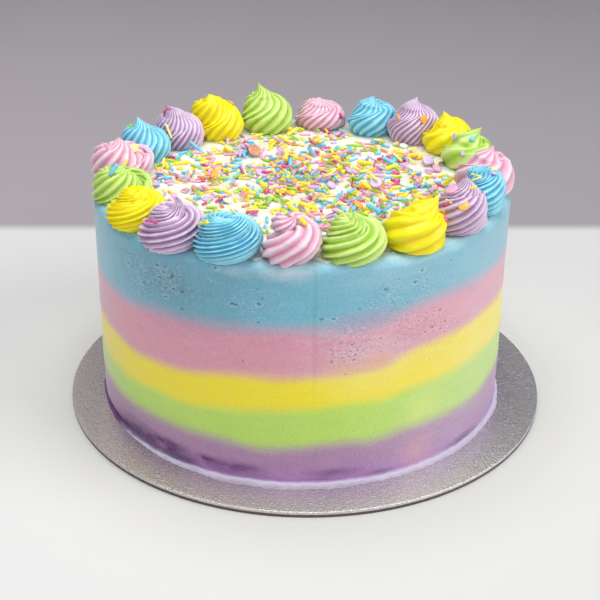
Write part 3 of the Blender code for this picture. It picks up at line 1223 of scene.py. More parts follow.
@dataclass(frozen=True)
class CakeCard:
    """The round silver card: foil on top, folded over a thin edge."""

    radius: float = CARD_RADIUS
    thickness: float = CARD_THICKNESS
    fold: float = 0.4 * MM
    bare: float = 0.55
    columns: int = 300
    rows: tuple[float, ...] = (0.0, 0.4, 0.7, 0.84, 0.9, 0.95, 0.985)
    foil: SilverFoil = SilverFoil()

    def section(self) -> Section:
        """The half section from the middle of the top round the edge to the middle below."""
        rim = self.radius - self.fold
        top = arc((rim, self.thickness - self.fold), self.fold, 90, 0, 5)
        base = arc((rim, self.fold), self.fold, 0, -90, 5)
        flat = [(self.radius * share, self.thickness) for share in self.rows]
        edge = [(self.radius, self.thickness * self.bare)]
        return flat + top + edge + base + [(0.0, 0.0)]

    def build(self) -> bpy.types.Object:
        """Make the card with foil above and a bare edge at the side."""
        card = new_item("silver_card", lathe("silver_card", self.section(), self.columns, Vector()))
        for finish in (self.foil.material(), self.foil.edge_material()):
            card.data.materials.append(finish)
        for face in card.data.polygons:
            if face.center.z < self.thickness * self.bare:
                face.material_index = 1
        return settle_piece(card, ["cake_board"])


@dataclass(frozen=True)
class SideIcing:
    """The banded coat on the cake's side, its rim and the smear at its foot.

    The smear's widths are given as an angle in degrees and a width in millimetres.
    """

    radius: float = CAKE_RADIUS
    rim: float = RIM_LEVEL
    rounding: float = RIM_ROUNDING
    ledge: float = COAT_RADIUS - 4 * MM
    ledge_depth: float = 2.4 * MM
    base: float = BODY_BASE
    step: float = 1.15 * MM
    rim_steps: int = 8
    columns: int = 720
    ripple_share: float = 0.7
    ripple_climb: float = 2.5
    even_foot: float = 3 * MM
    foot_ramp: float = 4 * MM
    crown_ramp: float = 6 * MM
    wave_length: float = 45 * MM
    wave_height: float = 0.35 * MM
    chip_length: float = 9 * MM
    chip_height: float = 0.05 * MM
    crown_chip: tuple[float, float] = (0.3 * MM, 0.25 * MM)
    hollow_length: float = 30 * MM
    hollow_depth: float = 0.8 * MM
    hollow_reach: float = 9 * MM
    hollow_shape: float = 0.7
    seam_angle: float = math.radians(273.7)
    seam_step: float = 0.6 * MM
    seam_fade: float = 0.07
    seam_foot: float = 48 * MM
    seam_ramp: float = 15 * MM
    smear_start: float = 0.05 * MM
    smear_depth: float = 0.9 * MM
    smear_curve: float = 1.5
    smear_rows: tuple[float, ...] = (0.1, 0.25, 0.4, 0.55, 0.7, 0.85, 0.95, 1.0)
    smear_widths: tuple[tuple[float, float], ...] = (
        (0, 1.5), (30, 1.7), (90, 2.0), (150, 1.7), (200, 0.8), (215, 1.2), (224, 1.7), (232, 2.6),
        (240, 3.6), (250, 4.6), (262, 5.2), (275, 5.2), (290, 4.8), (300, 4.4), (310, 4.2), (322, 3.6),
        (335, 3.0), (360, 1.5))
    smear_lobes: tuple[tuple[float, float], ...] = ((22 * MM, 0.14), (3.5 * MM, 0.12))
    smear_lumps: tuple[float, float] = (5 * MM, 0.16 * MM)
    waves: int = 14
    seed: int = 7
    finish: SideCoat = SideCoat()

    def section(self) -> Section:
        """The half section from the ledge under the swirls down to the smear."""
        lid = self.rim - self.ledge_depth
        top = [(0.0, lid), (self.ledge, lid), (self.ledge + 1 * MM, self.rim)]
        turning = (self.radius - self.rounding, self.rim - self.rounding)
        rim = arc(turning, self.rounding, 90, 0, self.rim_steps)
        side = run(rim[-1], (self.radius, self.base + 2.0 * MM), self.step)
        sole = self.base - 0.25 * MM
        smear = [(self.radius + share * MM, sole + self.smear_depth * (1 - share ** self.smear_curve))
                 for share in self.smear_rows]
        foot = [
            (self.radius - 0.5 * MM, self.base + 1.3 * MM),
            (self.radius - 0.4 * MM, sole + self.smear_depth * 1.1),
            *smear,
            (self.radius + 0.9 * MM, sole),
            (0.0, sole),
        ]
        return top + rim + side + foot

    def ripples(self, angles: np.ndarray, heights: np.ndarray, length: float, layer: int) -> np.ndarray:
        """Gentle unevenness round the side, from about -1 to 1.

        Args:
            angles: the angle of each point.
            heights: the height of each point.
            length: the shortest wave, in metres.
            layer: each layer has other waves.

        Returns:
            A value for each point.
        """
        draw = random.Random(self.seed + layer)
        total = np.zeros_like(angles)
        for _ in range(self.waves):
            rounds = draw.randint(2, max(3, int(math.tau * self.radius / length)))
            climb = draw.uniform(-1, 1) * math.tau / (length * self.ripple_climb)
            total += np.sin(rounds * angles + climb * heights + draw.uniform(0, math.tau)) / self.waves ** 0.5
        return total * self.ripple_share

    def scraped(self, skin: Skin) -> Skin:
        """Make the side and the rim as uneven as a scraper leaves them, with a seam and hollows at the foot.

        Args:
            skin: the even skin.

        Returns:
            The uneven one.
        """
        angles, radii, heights = skin
        side = np.clip((heights - self.base - self.even_foot) / self.foot_ramp, 0, 1)
        crown = np.clip((heights - (self.rim - self.crown_ramp)) / self.crown_ramp, 0, 1)
        wave = self.wave_height * self.ripples(angles, heights, self.wave_length, 0)
        chip = self.ripples(angles, heights, self.chip_length, 1)
        before = (self.seam_angle - angles) % math.tau
        above = np.clip((heights - self.seam_foot) / self.seam_ramp, 0, 1)
        seam = self.seam_step * np.exp(-before / self.seam_fade) * above
        low = np.exp(-(((heights - self.base) / self.hollow_reach) ** 2))
        hollow = self.ripples(angles, heights, self.hollow_length, 2) * self.wave_height * low * side
        for patch in SHADED_HOLLOWS:
            share = patch.share(angles, heights) ** self.hollow_shape
            hollow = hollow + share * patch.strength * self.hollow_depth
        outwards, upwards = self.crown_chip
        radii = radii + side * (wave + self.chip_height * chip - seam) - hollow + crown * chip * outwards
        return Skin(angles, radii, heights + crown * (wave + upwards * chip))

    def smeared(self, skin: Skin, out: np.ndarray) -> Skin:
        """Draw the smear out to its width, with a ragged edge and a lumpy top.

        Args:
            skin: the skin so far.
            out: how far outside the wall each point was turned.

        Returns:
            The skin with its smear.
        """
        angles, radii, heights = skin
        smear = (out > self.smear_start) & (heights < self.base + 1 * MM)
        width = np.interp(np.degrees(angles), *zip(*self.smear_widths))
        ragged = np.ones_like(angles)
        for layer, (length, share) in zip((3, 5), self.smear_lobes):
            ragged = ragged + share * self.ripples(angles, heights * 0, length, layer)
        radii = np.where(smear, self.radius + out * width * ragged, radii)
        length, height = self.smear_lumps
        lumpy = self.ripples(angles, radii * 2, length, 4) * height * (out < self.smear_depth)
        return Skin(angles, radii, np.where(smear, heights + lumpy, heights))

    def reshape(self, skin: Skin) -> Skin:
        """Turn the even skin into a hand-made one."""
        return self.smeared(self.scraped(skin), skin.radii - self.radius)

    @staticmethod
    def mark(mesh: bpy.types.Mesh) -> None:
        """Keep on each point how strongly the patches of the side are felt there.

        Args:
            mesh: the coat's mesh.
        """
        places = np.array([tuple(vertex.co) for vertex in mesh.vertices])
        angles = np.arctan2(places[:, 1] - CAKE_AXIS.y, places[:, 0] - CAKE_AXIS.x) % math.tau
        for name, patches in SIDE_MARKS.items():
            felt = [patch.share(angles, places[:, 2]) * patch.strength for patch in patches]
            keep(mesh, name, "FLOAT", np.max(felt, axis=0))

    def build(self) -> bpy.types.Object:
        """Make the coat."""
        mesh = lathe("side_coat", self.section(), self.columns, CAKE_AXIS, self.reshape)
        self.mark(mesh)
        coat = new_item("side_coat", mesh)
        coat.data.materials.append(self.finish.material())
        return settle_piece(coat, ["cake_body"])


@dataclass(frozen=True)
class TopIcing:
    """The ivory coat inside the ring of swirls, with the marks of a palette knife.

    Where it comes out between two swirls, a lobe is given as its angle in degrees, how far it reaches
    in millimetres and its half width in degrees.
    """

    radius: float = COAT_RADIUS - 2.5 * MM
    level: float = RIM_LEVEL
    lobes: tuple[tuple[float, float, float], ...] = (
        (258.8, 3.6, 2.6), (276.6, 3.0, 2.2), (294.3, 2.6, 2.2),
        (40.0, 3.0, 2.0), (150.0, 3.0, 2.0), (226.0, 1.5, 2.0))
    depth: float = 2 * MM
    rise: float = 0.6 * MM
    swells: int = 16
    swell_lengths: tuple[float, float] = (14, 60)
    edge_height: float = 0.35 * MM
    edge_part: int = 8
    lobe_shape: int = 4
    frill_share: float = 0.25
    frill_rounds: int = 120
    edge_waves: range = range(9, 60, 4)
    columns: int = 720
    rows: int = 60
    seed: int = 3
    finish: WhiteCoat = WhiteCoat()

    def swell(self, across: np.ndarray, along: np.ndarray) -> np.ndarray:
        """How far the coat stands above its level.

        Args:
            across: how far right of the axis each point is.
            along: how far behind the axis each point is.

        Returns:
            A height for each point.
        """
        draw = random.Random(self.seed)
        total = np.zeros_like(across)
        for _ in range(self.swells):
            heading = draw.uniform(0, math.tau)
            wave = math.tau / (draw.uniform(*self.swell_lengths) * MM)
            phase = draw.uniform(0, math.tau)
            total += np.sin(wave * (across * math.cos(heading) + along * math.sin(heading)) + phase)
        return self.rise * total / (self.swells / 2)

    def reshape(self, skin: Skin) -> Skin:
        """Raise the top by its swell and draw its edge out in waves and lobes.

        Args:
            skin: the even skin.

        Returns:
            The uneven one.
        """
        angles, radii, heights = skin
        top = heights > self.level - 0.5 * MM
        swell = self.swell(radii * np.cos(angles), radii * np.sin(angles))
        outer = np.clip(radii / self.radius * self.edge_part - (self.edge_part - 1), 0, 1)
        draw = random.Random(self.seed + 1)
        spread = np.zeros_like(angles)
        for rounds in self.edge_waves:
            spread += self.edge_height * np.sin(rounds * angles + draw.uniform(0, math.tau))
        for angle, reach, wide in self.lobes:
            away = (np.degrees(angles) - angle + 180) % 360 - 180
            lobe = reach * MM * np.exp(-((away / wide) ** self.lobe_shape))
            spread += lobe * (1 + self.frill_share * np.sin(angles * self.frill_rounds))
        lifted = swell * (1 - outer) + self.edge_height * outer
        return Skin(angles, radii + outer * spread, heights + np.where(top, lifted, 0))

    def build(self) -> bpy.types.Object:
        """Make the coat."""
        top = [(self.radius * (row / self.rows), self.level) for row in range(self.rows + 1)]
        floor = self.level - self.depth
        section = top + [(self.radius, floor), (0.0, floor)]
        coat = new_item("white_coat", lathe("white_coat", section, self.columns, CAKE_AXIS, self.reshape))
        coat.data.materials.append(self.finish.material())
        return settle_piece(coat, ["top_icing"])


# ---- Swirls ----


class SwirlTree(ShapeTree):
    """A ridged rope of icing, wound up and inwards, then pulled off into a peak."""

    tip_radius = 0.15 * MM
    sway = 1.6 * MM
    bounce = 1.4 * MM
    shaking = 0.4
    lump_size = 9 * MM
    nick_size = 1.6 * MM
    press = 0.6

    def __init__(self) -> None:
        """Lay out the tree, from the rope's path and section to the seated swirl."""
        super().__init__("piped_swirl")
        self.rings, self.sides, self.teeth = self.take_all("Rings", "Sides", "Teeth", kind="NodeSocketInt")
        self.lean, self.seat = self.take_all("Lean", "Seat", kind="NodeSocketVector")
        self.turns, self.delay, self.start = self.take_all("Turns", "Delay", "Start")
        self.coil, self.inner, self.tuck = self.take_all("Coil Radius", "Inner Radius", "Tuck")
        self.rope, self.narrow, self.squash = self.take_all("Rope Radius", "Narrowing", "Squash")
        self.rest, self.opening, self.skirt = self.take_all("Rest Height", "Opening", "Skirt")
        self.tier, self.peak = self.take_all("Tier Height", "Peak Height")
        self.peak_start, self.sharpness = self.take_all("Peak Start", "Peak Sharpness")
        self.tooth_depth, self.roundness = self.take_all("Tooth Depth", "Tooth Roundness")
        self.twist, self.lumpy, self.ragged = self.take_all("Twist", "Lumpy", "Ragged")
        self.seed = self.take("Seed")
        walls = self.take_all("Left Wall", "Right Wall", kind="NodeSocketVector")
        self.walls = list(zip(walls, self.take_all("Left Reach", "Right Reach")))
        values = {"Curve": self.path(), "Profile Curve": self.section(), "Scale": self.thickness()}
        mesh = self.add("GeometryNodeCurveToMesh", {}, values | {"Fill Caps": True})
        mesh = self.sit(self.roughen(mesh))
        self.close(self.add("GeometryNodeSetShadeSmooth", {}, {"Geometry": mesh}))

    def share(self) -> Field:
        """How far along the rope a point of its path is."""
        return self.add("GeometryNodeInputIndex") / (self.rings - 1)

    def thickness(self) -> Field:
        """The rope's radius: full at first, narrower higher up, drawn out to nothing at the tip."""
        along = self.recall("along")
        climb = along.over(0.0, self.peak_start)
        pull = along.over(self.peak_start, 1.0)
        opening = 1 - self.opening * (1 - along.over(0.0, self.skirt)) ** 2
        shoulder = self.maths("SQRT", 1 - climb * climb * (1 - (1 - self.narrow) ** 2))
        return self.rope * shoulder * (1 - pull) ** self.sharpness * opening + self.tip_radius

    def path(self) -> Field:
        """The middle of the rope."""
        line = self.add("GeometryNodeCurvePrimitiveLine")
        curve = self.add("GeometryNodeResampleCurve", {"mode": "COUNT"}, {"Curve": line, "Count": self.rings})
        curve = self.store(curve, "along", self.share())
        along = self.share()
        climb = along.over(0.0, self.peak_start)
        pull = along.over(self.peak_start, 1.0)
        wound = along * self.turns
        shaky, uneven = (self.noise(self.point(wound, row, 0.0), self.shaking, 1, self.seed) - 0.5
                         for row in (0.0, 1.0))
        heading = self.start + self.turns * along ** self.delay * math.tau
        coil = (self.coil - self.inner) * (1 - climb ** self.tuck) + self.inner * (1 - pull)
        coil = coil + shaky * self.sway * (1 - along)
        height = self.rest + (self.tier - self.rest) * climb + (self.peak - self.tier) * pull ** 1.05
        height = height + uneven * self.bounce * climb * (1 - pull)
        spot = self.point(coil * self.maths("COSINE", heading), coil * self.maths("SINE", heading), height)
        spot = self.vector("ADD", spot, self.stretched(self.lean, along ** 3))
        curve = self.add("GeometryNodeSetPosition", {}, {"Geometry": curve, "Position": spot})
        tilt = self.twist * math.tau * self.recall("along")
        return self.add("GeometryNodeSetCurveTilt", {}, {"Curve": curve, "Tilt": tilt})

    def section(self) -> Field:
        """The star that the nozzle cuts, of radius one."""
        values = {"Resolution": self.sides, "Radius": 1.0}
        circle = self.add("GeometryNodeCurvePrimitiveCircle", {"mode": "RADIUS"}, values)
        step = self.add("GeometryNodeInputIndex") * self.teeth / self.sides
        crease = abs((step - self.maths("FLOOR", step)) * 2 - 1)
        circle = self.store(circle, "crease", crease)
        shrink = 1 - self.tooth_depth * crease ** self.roundness
        place = self.stretched(self.add("GeometryNodeInputPosition"), shrink)
        return self.add("GeometryNodeSetPosition", {}, {"Geometry": circle, "Position": place})

    def roughen(self, mesh: Field) -> Field:
        """Squash the rope a little and make its ridges uneven.

        Args:
            mesh: the even rope.

        Returns:
            The uneven one.
        """
        place = self.add("GeometryNodeInputPosition")
        flat = self.vector("MULTIPLY", place, self.point(1.0, 1.0, self.squash))
        mesh = self.add("GeometryNodeSetPosition", {}, {"Geometry": mesh, "Position": flat})
        place = self.add("GeometryNodeInputPosition")
        lumps = self.noise(place, self.lump_size, 3, self.seed) - 0.5
        nicks = self.noise(place, self.nick_size, 2, self.seed + 3) - 0.5
        ridge = 1 - self.recall("crease")
        amount = lumps * self.lumpy + nicks * ridge * self.ragged
        offset = self.stretched(self.add("GeometryNodeInputNormal"), amount)
        return self.add("GeometryNodeSetPosition", {}, {"Geometry": mesh, "Offset": offset})

    def sit(self, mesh: Field) -> Field:
        """Press the swirl against its neighbours, put it on its seat and lay it on the rim.

        Args:
            mesh: the swirl round the origin.

        Returns:
            The swirl in its place.
        """
        place = self.add("GeometryNodeInputPosition")
        for wall, reach in self.walls:
            beyond = (self.vector("DOT_PRODUCT", place, wall, out="Value") - reach).most(0.0)
            place = self.vector("SUBTRACT", place, self.stretched(wall, beyond * self.press))
        place = self.vector("ADD", place, self.seat)
        out = self.vector("SUBTRACT", place, tuple(CAKE_AXIS))
        radius = self.vector("LENGTH", self.vector("MULTIPLY", out, (1.0, 1.0, 0.0)), out="Value")
        past = (radius - (CAKE_RADIUS - RIM_ROUNDING)).most(0.0).least(RIM_ROUNDING)
        fall = RIM_ROUNDING - self.maths("SQRT", RIM_ROUNDING ** 2 - past * past)
        lifted = place.part("Z").most(RIM_LEVEL - fall - 0.15 * MM)
        seated = self.point(place.part("X"), place.part("Y"), lifted)
        return self.add("GeometryNodeSetPosition", {}, {"Geometry": mesh, "Position": seated})


class Piping(Enum):
    """How a swirl was made: a rope laid in a coil, or icing pushed straight up with a turn of the wrist."""

    COILED = "coiled"
    UPRIGHT = "upright"


@dataclass(frozen=True)
class Stroke:
    """What differs between the two ways of piping.

    The rings are the steps along the rope. The inset is the share of the coil that the rope's own
    thickness is short of the swirl's half width. The delay holds the turning back at first. The rest
    is how high the rope starts, the opening how much thinner, and the skirt for how much of its way.
    The sinking is how far its middle stays below the dome, as a share of its thickness there.
    """

    rings: int
    inset: float
    delay: float
    rest: float
    opening: float
    skirt: float
    sinking: float


STROKES = {
    Piping.COILED: Stroke(230, 1.0, 1.0, 3.2 * MM, 0.55, 0.06, 1.0),
    Piping.UPRIGHT: Stroke(115, 0.35, 1.7, 0.0, 0.32, 0.3, 0.0),
}


@dataclass(frozen=True)
class Swirl:
    """One swirl as it was piped. Sizes are in millimetres and angles in degrees.

    The angle and the reach say where it stands on the rim, and the dome is the share of its height
    below the peak. The lean is how far its tip leans over, and to which side. The teeth are the rope's
    ridges, a tooth is as deep as a share of the rope, and the twist is how many times they go round it.
    The coil is the radius of the rope's path, the inner radius is what is left of it before the peak,
    and the tuck how late it closes. The narrowing is the share of its thickness that the rope has lost
    where the peak starts.
    """

    tint: Tint
    piping: Piping
    angle: float
    reach: float
    width: float
    height: float
    dome: float
    lean: float
    lean_angle: float
    teeth: int
    tooth: float
    roundness: float = 1.2
    twist: float = 0.4
    turns: float = 1.0
    coil: float = 2.5
    inner: float = 0.0
    start: float = 0.0
    tuck: float = 1.9
    narrowing: float = 0.60
    peak_start: float = 0.6
    sharpness: float = 1.3
    tip: float = 1.0
    lumpy: float = 1.6
    ragged: float = 0.3

    def seat(self) -> Vector:
        """Where the swirl's axis meets the rim."""
        angle = math.radians(self.angle)
        outwards = Vector((math.cos(angle), math.sin(angle), 0))
        return CAKE_AXIS + outwards * self.reach * MM + Vector((0, 0, RIM_LEVEL))


@dataclass(frozen=True)
class SwirlRing:
    """The ring of twenty swirls on the rim."""

    swirls: tuple[Swirl, ...] = (
        Swirl(Tint.PINK, Piping.UPRIGHT, 175.5, 94.5, 39, 19.5, dome=0.70, lean=2.0, lean_angle=100,
              teeth=12, tooth=0.16, narrowing=0.55),
        Swirl(Tint.GREEN, Piping.UPRIGHT, 196, 92.5, 34.5, 15, dome=0.84, lean=1.5, lean_angle=60,
              teeth=14, tooth=0.15, roundness=1.1, turns=0.8, coil=2.0, peak_start=0.8, sharpness=1.0),
        Swirl(Tint.YELLOW, Piping.COILED, 217, 96.5, 30.5, 17.5, dome=0.94, lean=3.5, lean_angle=30,
              teeth=18, tooth=0.18, roundness=0.9, twist=-0.4, turns=1.7, coil=6.2, inner=3.9, tuck=2.0,
              narrowing=0.48, peak_start=0.86, sharpness=0.8, ragged=0.5),
        Swirl(Tint.PURPLE, Piping.COILED, 234, 97.5, 33.5, 20.5, dome=0.82, lean=4.0, lean_angle=80,
              teeth=17, tooth=0.23, roundness=0.8, twist=-0.4, turns=1.75, coil=6.8, inner=4.6, tuck=2.2,
              narrowing=0.46, peak_start=0.80, sharpness=0.9, lumpy=2.3, ragged=0.6),
        Swirl(Tint.BLUE, Piping.COILED, 250.5, 96, 32.5, 19.5, dome=0.97, lean=0.0, lean_angle=120,
              teeth=22, tooth=0.25, roundness=0.75, twist=-0.4, turns=1.85, coil=7.4, inner=5.4, tuck=2.2,
              narrowing=0.36, peak_start=0.84, sharpness=0.7, tip=0.70, ragged=0.6),
        Swirl(Tint.PINK, Piping.COILED, 268, 95.5, 28.5, 21.5, dome=1.0, lean=1.0, lean_angle=110,
              teeth=10, tooth=0.21, twist=-0.4, turns=1.45, coil=4.6, inner=3.6, tuck=2.2, narrowing=0.46,
              peak_start=0.82, sharpness=0.9, tip=0.9, lumpy=2.3, ragged=0.4),
        Swirl(Tint.GREEN, Piping.COILED, 284.5, 93, 32.5, 19.5, dome=0.92, lean=1.0, lean_angle=80,
              teeth=13, tooth=0.27, roundness=1.0, twist=-0.4, turns=1.65, coil=5.8, inner=3.9, tuck=2.0,
              narrowing=0.46, peak_start=0.82, sharpness=0.9, lumpy=2.3, ragged=0.5),
        Swirl(Tint.YELLOW, Piping.UPRIGHT, 304, 95, 33.5, 23, dome=0.70, lean=9.2, lean_angle=5, teeth=8,
              tooth=0.12, roundness=1.4, twist=0.6, narrowing=0.50, peak_start=0.7, sharpness=1.1),
        Swirl(Tint.PURPLE, Piping.UPRIGHT, 321, 98, 32, 28, dome=0.64, lean=0.4, lean_angle=180, teeth=15,
              tooth=0.14, roundness=1.0, twist=0.8, turns=1.2, coil=3.6, start=-60, narrowing=0.45,
              peak_start=0.58, lumpy=2.2, ragged=0.5),
        Swirl(Tint.BLUE, Piping.UPRIGHT, 338, 93.5, 28, 21, dome=0.90, lean=2.0, lean_angle=90, teeth=15,
              tooth=0.15, roundness=0.9, twist=0.8, narrowing=0.52, peak_start=0.8, sharpness=1.0,
              lumpy=2.3, ragged=0.6),
        Swirl(Tint.PINK, Piping.UPRIGHT, 355, 92.5, 35, 22.5, dome=0.75, lean=4.0, lean_angle=10, teeth=8,
              tooth=0.16, roundness=1.3, coil=3.0, narrowing=0.55, peak_start=0.7),
        Swirl(Tint.GREEN, Piping.UPRIGHT, 17.5, 91.5, 33, 20.5, dome=0.65, lean=7.0, lean_angle=350,
              teeth=6, tooth=0.08, roundness=1.5, twist=0.5, narrowing=0.50),
        Swirl(Tint.YELLOW, Piping.UPRIGHT, 33, 93.5, 32, 21.5, dome=0.70, lean=2.0, lean_angle=180,
              teeth=9, tooth=0.12, roundness=1.4, twist=0.5),
        Swirl(Tint.PURPLE, Piping.UPRIGHT, 48.5, 92, 34.5, 23.5, dome=0.75, lean=2.5, lean_angle=20,
              teeth=24, tooth=0.09, roundness=1.0, sharpness=1.2),
        Swirl(Tint.BLUE, Piping.UPRIGHT, 65, 90, 34, 21.5, dome=0.72, lean=2.5, lean_angle=10, teeth=14,
              tooth=0.10, twist=0.5, sharpness=1.5),
        Swirl(Tint.PINK, Piping.UPRIGHT, 85, 91, 33, 16, dome=0.80, lean=1.5, lean_angle=20, teeth=18,
              tooth=0.10, roundness=1.3, twist=0.35, turns=0.7, coil=1.8, peak_start=0.75, sharpness=1.0),
        Swirl(Tint.GREEN, Piping.UPRIGHT, 105.5, 85.5, 34.5, 27.5, dome=0.72, lean=3.0, lean_angle=180,
              teeth=10, tooth=0.12, roundness=1.4, twist=0.6, sharpness=1.5),
        Swirl(Tint.YELLOW, Piping.UPRIGHT, 126.5, 84, 33, 24.5, dome=0.85, lean=2.5, lean_angle=190,
              teeth=12, tooth=0.12, roundness=1.4, twist=0.5, peak_start=0.8, sharpness=1.0),
        Swirl(Tint.PURPLE, Piping.UPRIGHT, 143, 87, 32, 23, dome=0.75, lean=6.0, lean_angle=180, teeth=20,
              tooth=0.12, roundness=1.0, sharpness=1.2),
        Swirl(Tint.BLUE, Piping.UPRIGHT, 160.5, 90.5, 32, 22.5, dome=0.75, lean=2.5, lean_angle=150,
              teeth=14, tooth=0.11),
    )
    # Each finish gives the ridges' colour with a painted highlight, then the creases' colour with painted
    # shade.
    finishes: tuple[PipedIcing, ...] = (
        PipedIcing(Tint.PINK, screen(236, 221, 231), screen(211, 134, 165)),
        PipedIcing(Tint.GREEN, screen(219, 238, 150), screen(146, 193, 33)),
        PipedIcing(Tint.YELLOW, screen(247, 242, 8), screen(235, 210, 0)),
        PipedIcing(Tint.PURPLE, screen(235, 216, 237), screen(151, 112, 160)),
        PipedIcing(Tint.BLUE, screen(166, 234, 248), screen(61, 159, 195)),
    )
    points_each_tooth: int = 8
    fewest_sides: int = 96
    squash: float = 0.86
    gap: float = -0.4 * MM
    start_behind: float = 130.0

    def wall(self, swirl: Swirl, other: Swirl) -> tuple[tuple[float, float, float], float]:
        """The plane where a swirl meets a neighbour: its direction and distance."""
        away = other.seat() - swirl.seat()
        return tuple(away.normalized()), away.length / 2 - self.gap

    def values(self, index: int) -> dict[str, Any]:
        """Work out what the tree takes for one swirl.

        Args:
            index: the swirl's number in the ring.

        Returns:
            A value for each named input.
        """
        swirl = self.swirls[index]
        stroke = STROKES[swirl.piping]
        left, left_reach = self.wall(swirl, self.swirls[index - 1])
        right, right_reach = self.wall(swirl, self.swirls[(index + 1) % len(self.swirls)])
        bend = math.radians(swirl.lean_angle)
        thick = (swirl.width / 2 - swirl.coil * stroke.inset) * MM
        height = swirl.height * MM / self.squash
        return {
            "Rings": stroke.rings,
            "Sides": max(self.fewest_sides // swirl.teeth, self.points_each_tooth) // 2 * 2 * swirl.teeth,
            "Teeth": swirl.teeth,
            "Turns": swirl.turns,
            "Delay": stroke.delay,
            "Start": math.radians(swirl.angle - self.start_behind + swirl.start),
            "Coil Radius": swirl.coil * MM,
            "Inner Radius": swirl.inner * MM,
            "Tuck": swirl.tuck,
            "Rope Radius": thick,
            "Narrowing": swirl.narrowing,
            "Rest Height": stroke.rest,
            "Opening": stroke.opening,
            "Skirt": stroke.skirt,
            "Tier Height": swirl.dome * height - stroke.sinking * thick * (1 - swirl.narrowing),
            "Peak Height": swirl.tip * height,
            "Peak Start": swirl.peak_start,
            "Peak Sharpness": swirl.sharpness,
            "Lean": (swirl.lean * MM * math.cos(bend), swirl.lean * MM * math.sin(bend), 0.0),
            "Squash": self.squash,
            "Tooth Depth": swirl.tooth,
            "Tooth Roundness": swirl.roundness,
            "Twist": swirl.twist,
            "Lumpy": swirl.lumpy * MM,
            "Ragged": swirl.ragged * MM,
            "Seed": float(index * 7 + 1),
            "Seat": tuple(swirl.seat()),
            "Left Wall": left,
            "Left Reach": left_reach,
            "Right Wall": right,
            "Right Reach": right_reach,
        }

    def build(self) -> list[bpy.types.Object]:
        """Pipe every swirl."""
        tree = SwirlTree()
        icings = {finish.tint: finish.material() for finish in self.finishes}
        piped = []
        for index, swirl in enumerate(self.swirls):
            tint, number = swirl.tint.value, f"{index + 1:02d}"
            name = f"{tint}_swirl_{number}"
            item = new_item(name, bpy.data.meshes.new(name))
            tree.grow(item, self.values(index) | {"Finish": icings[swirl.tint]})
            piped.append(settle_piece(item, [f"swirl_{number}_{tint}"]))
        return piped


# ---- Sprinkles ----


class Sugar(Enum):
    """The shapes of sprinkle: thin strands, thick rods and flat round confetti."""

    STRAND = "strands"
    ROD = "rods"
    DISC = "discs"


@dataclass(frozen=True)
class SprinkleShape:
    """How one kind of sprinkle is made and how many fall on the top. Sizes are in millimetres.

    The length runs along the sprinkle's own axis, which for a disc is its thickness.
    """

    sugar: Sugar
    count: int
    segments: int
    rounding: float
    length: tuple[float, float]
    radius: tuple[float, float]
    colours: tuple[tuple[Colour, float], ...]


@dataclass
class Sprinkle:
    """One sprinkle at rest. The axis runs along a strand or rod and out of a disc's flat face."""

    sugar: Sugar
    middle: Vector
    axis: Vector
    length: float
    radius: float
    colour: Colour


class SprinkleTree(ShapeTree):
    """A rounded cylinder on every point, turned, stretched and tinted as the point says."""

    rings = 6
    pole = 0.001

    def __init__(self) -> None:
        """Lay out the tree: a ball is swollen towards a cylinder and put on the points."""
        super().__init__("sugar_sprinkles")
        segments = self.take("Segments", "NodeSocketInt")
        rounding = self.take("Rounding")
        values = {"Segments": segments, "Rings": self.rings, "Radius": 1.0}
        ball = self.add("GeometryNodeMeshUVSphere", {}, values)
        place = self.add("GeometryNodeInputPosition")
        up = place.part("Z")
        flat = self.vector("MULTIPLY", place, (1.0, 1.0, 0.0))
        girth = self.vector("LENGTH", flat, out="Value").most(self.pole)
        wider = girth ** rounding / girth
        taller = self.maths("SIGN", up) * abs(up) ** rounding
        spot = self.point(place.part("X") * wider, place.part("Y") * wider, taller)
        ball = self.add("GeometryNodeSetPosition", {}, {"Geometry": ball, "Position": spot})
        turn = self.add("FunctionNodeEulerToRotation", {}, {"Euler": self.recall("turn", "FLOAT_VECTOR")})
        stretch = self.recall("stretch", "FLOAT_VECTOR")
        values = {"Points": self.given(), "Instance": ball, "Rotation": turn, "Scale": stretch}
        placed = self.add("GeometryNodeInstanceOnPoints", {}, values)
        self.close(self.add("GeometryNodeSetShadeSmooth", {}, {"Geometry": placed}))


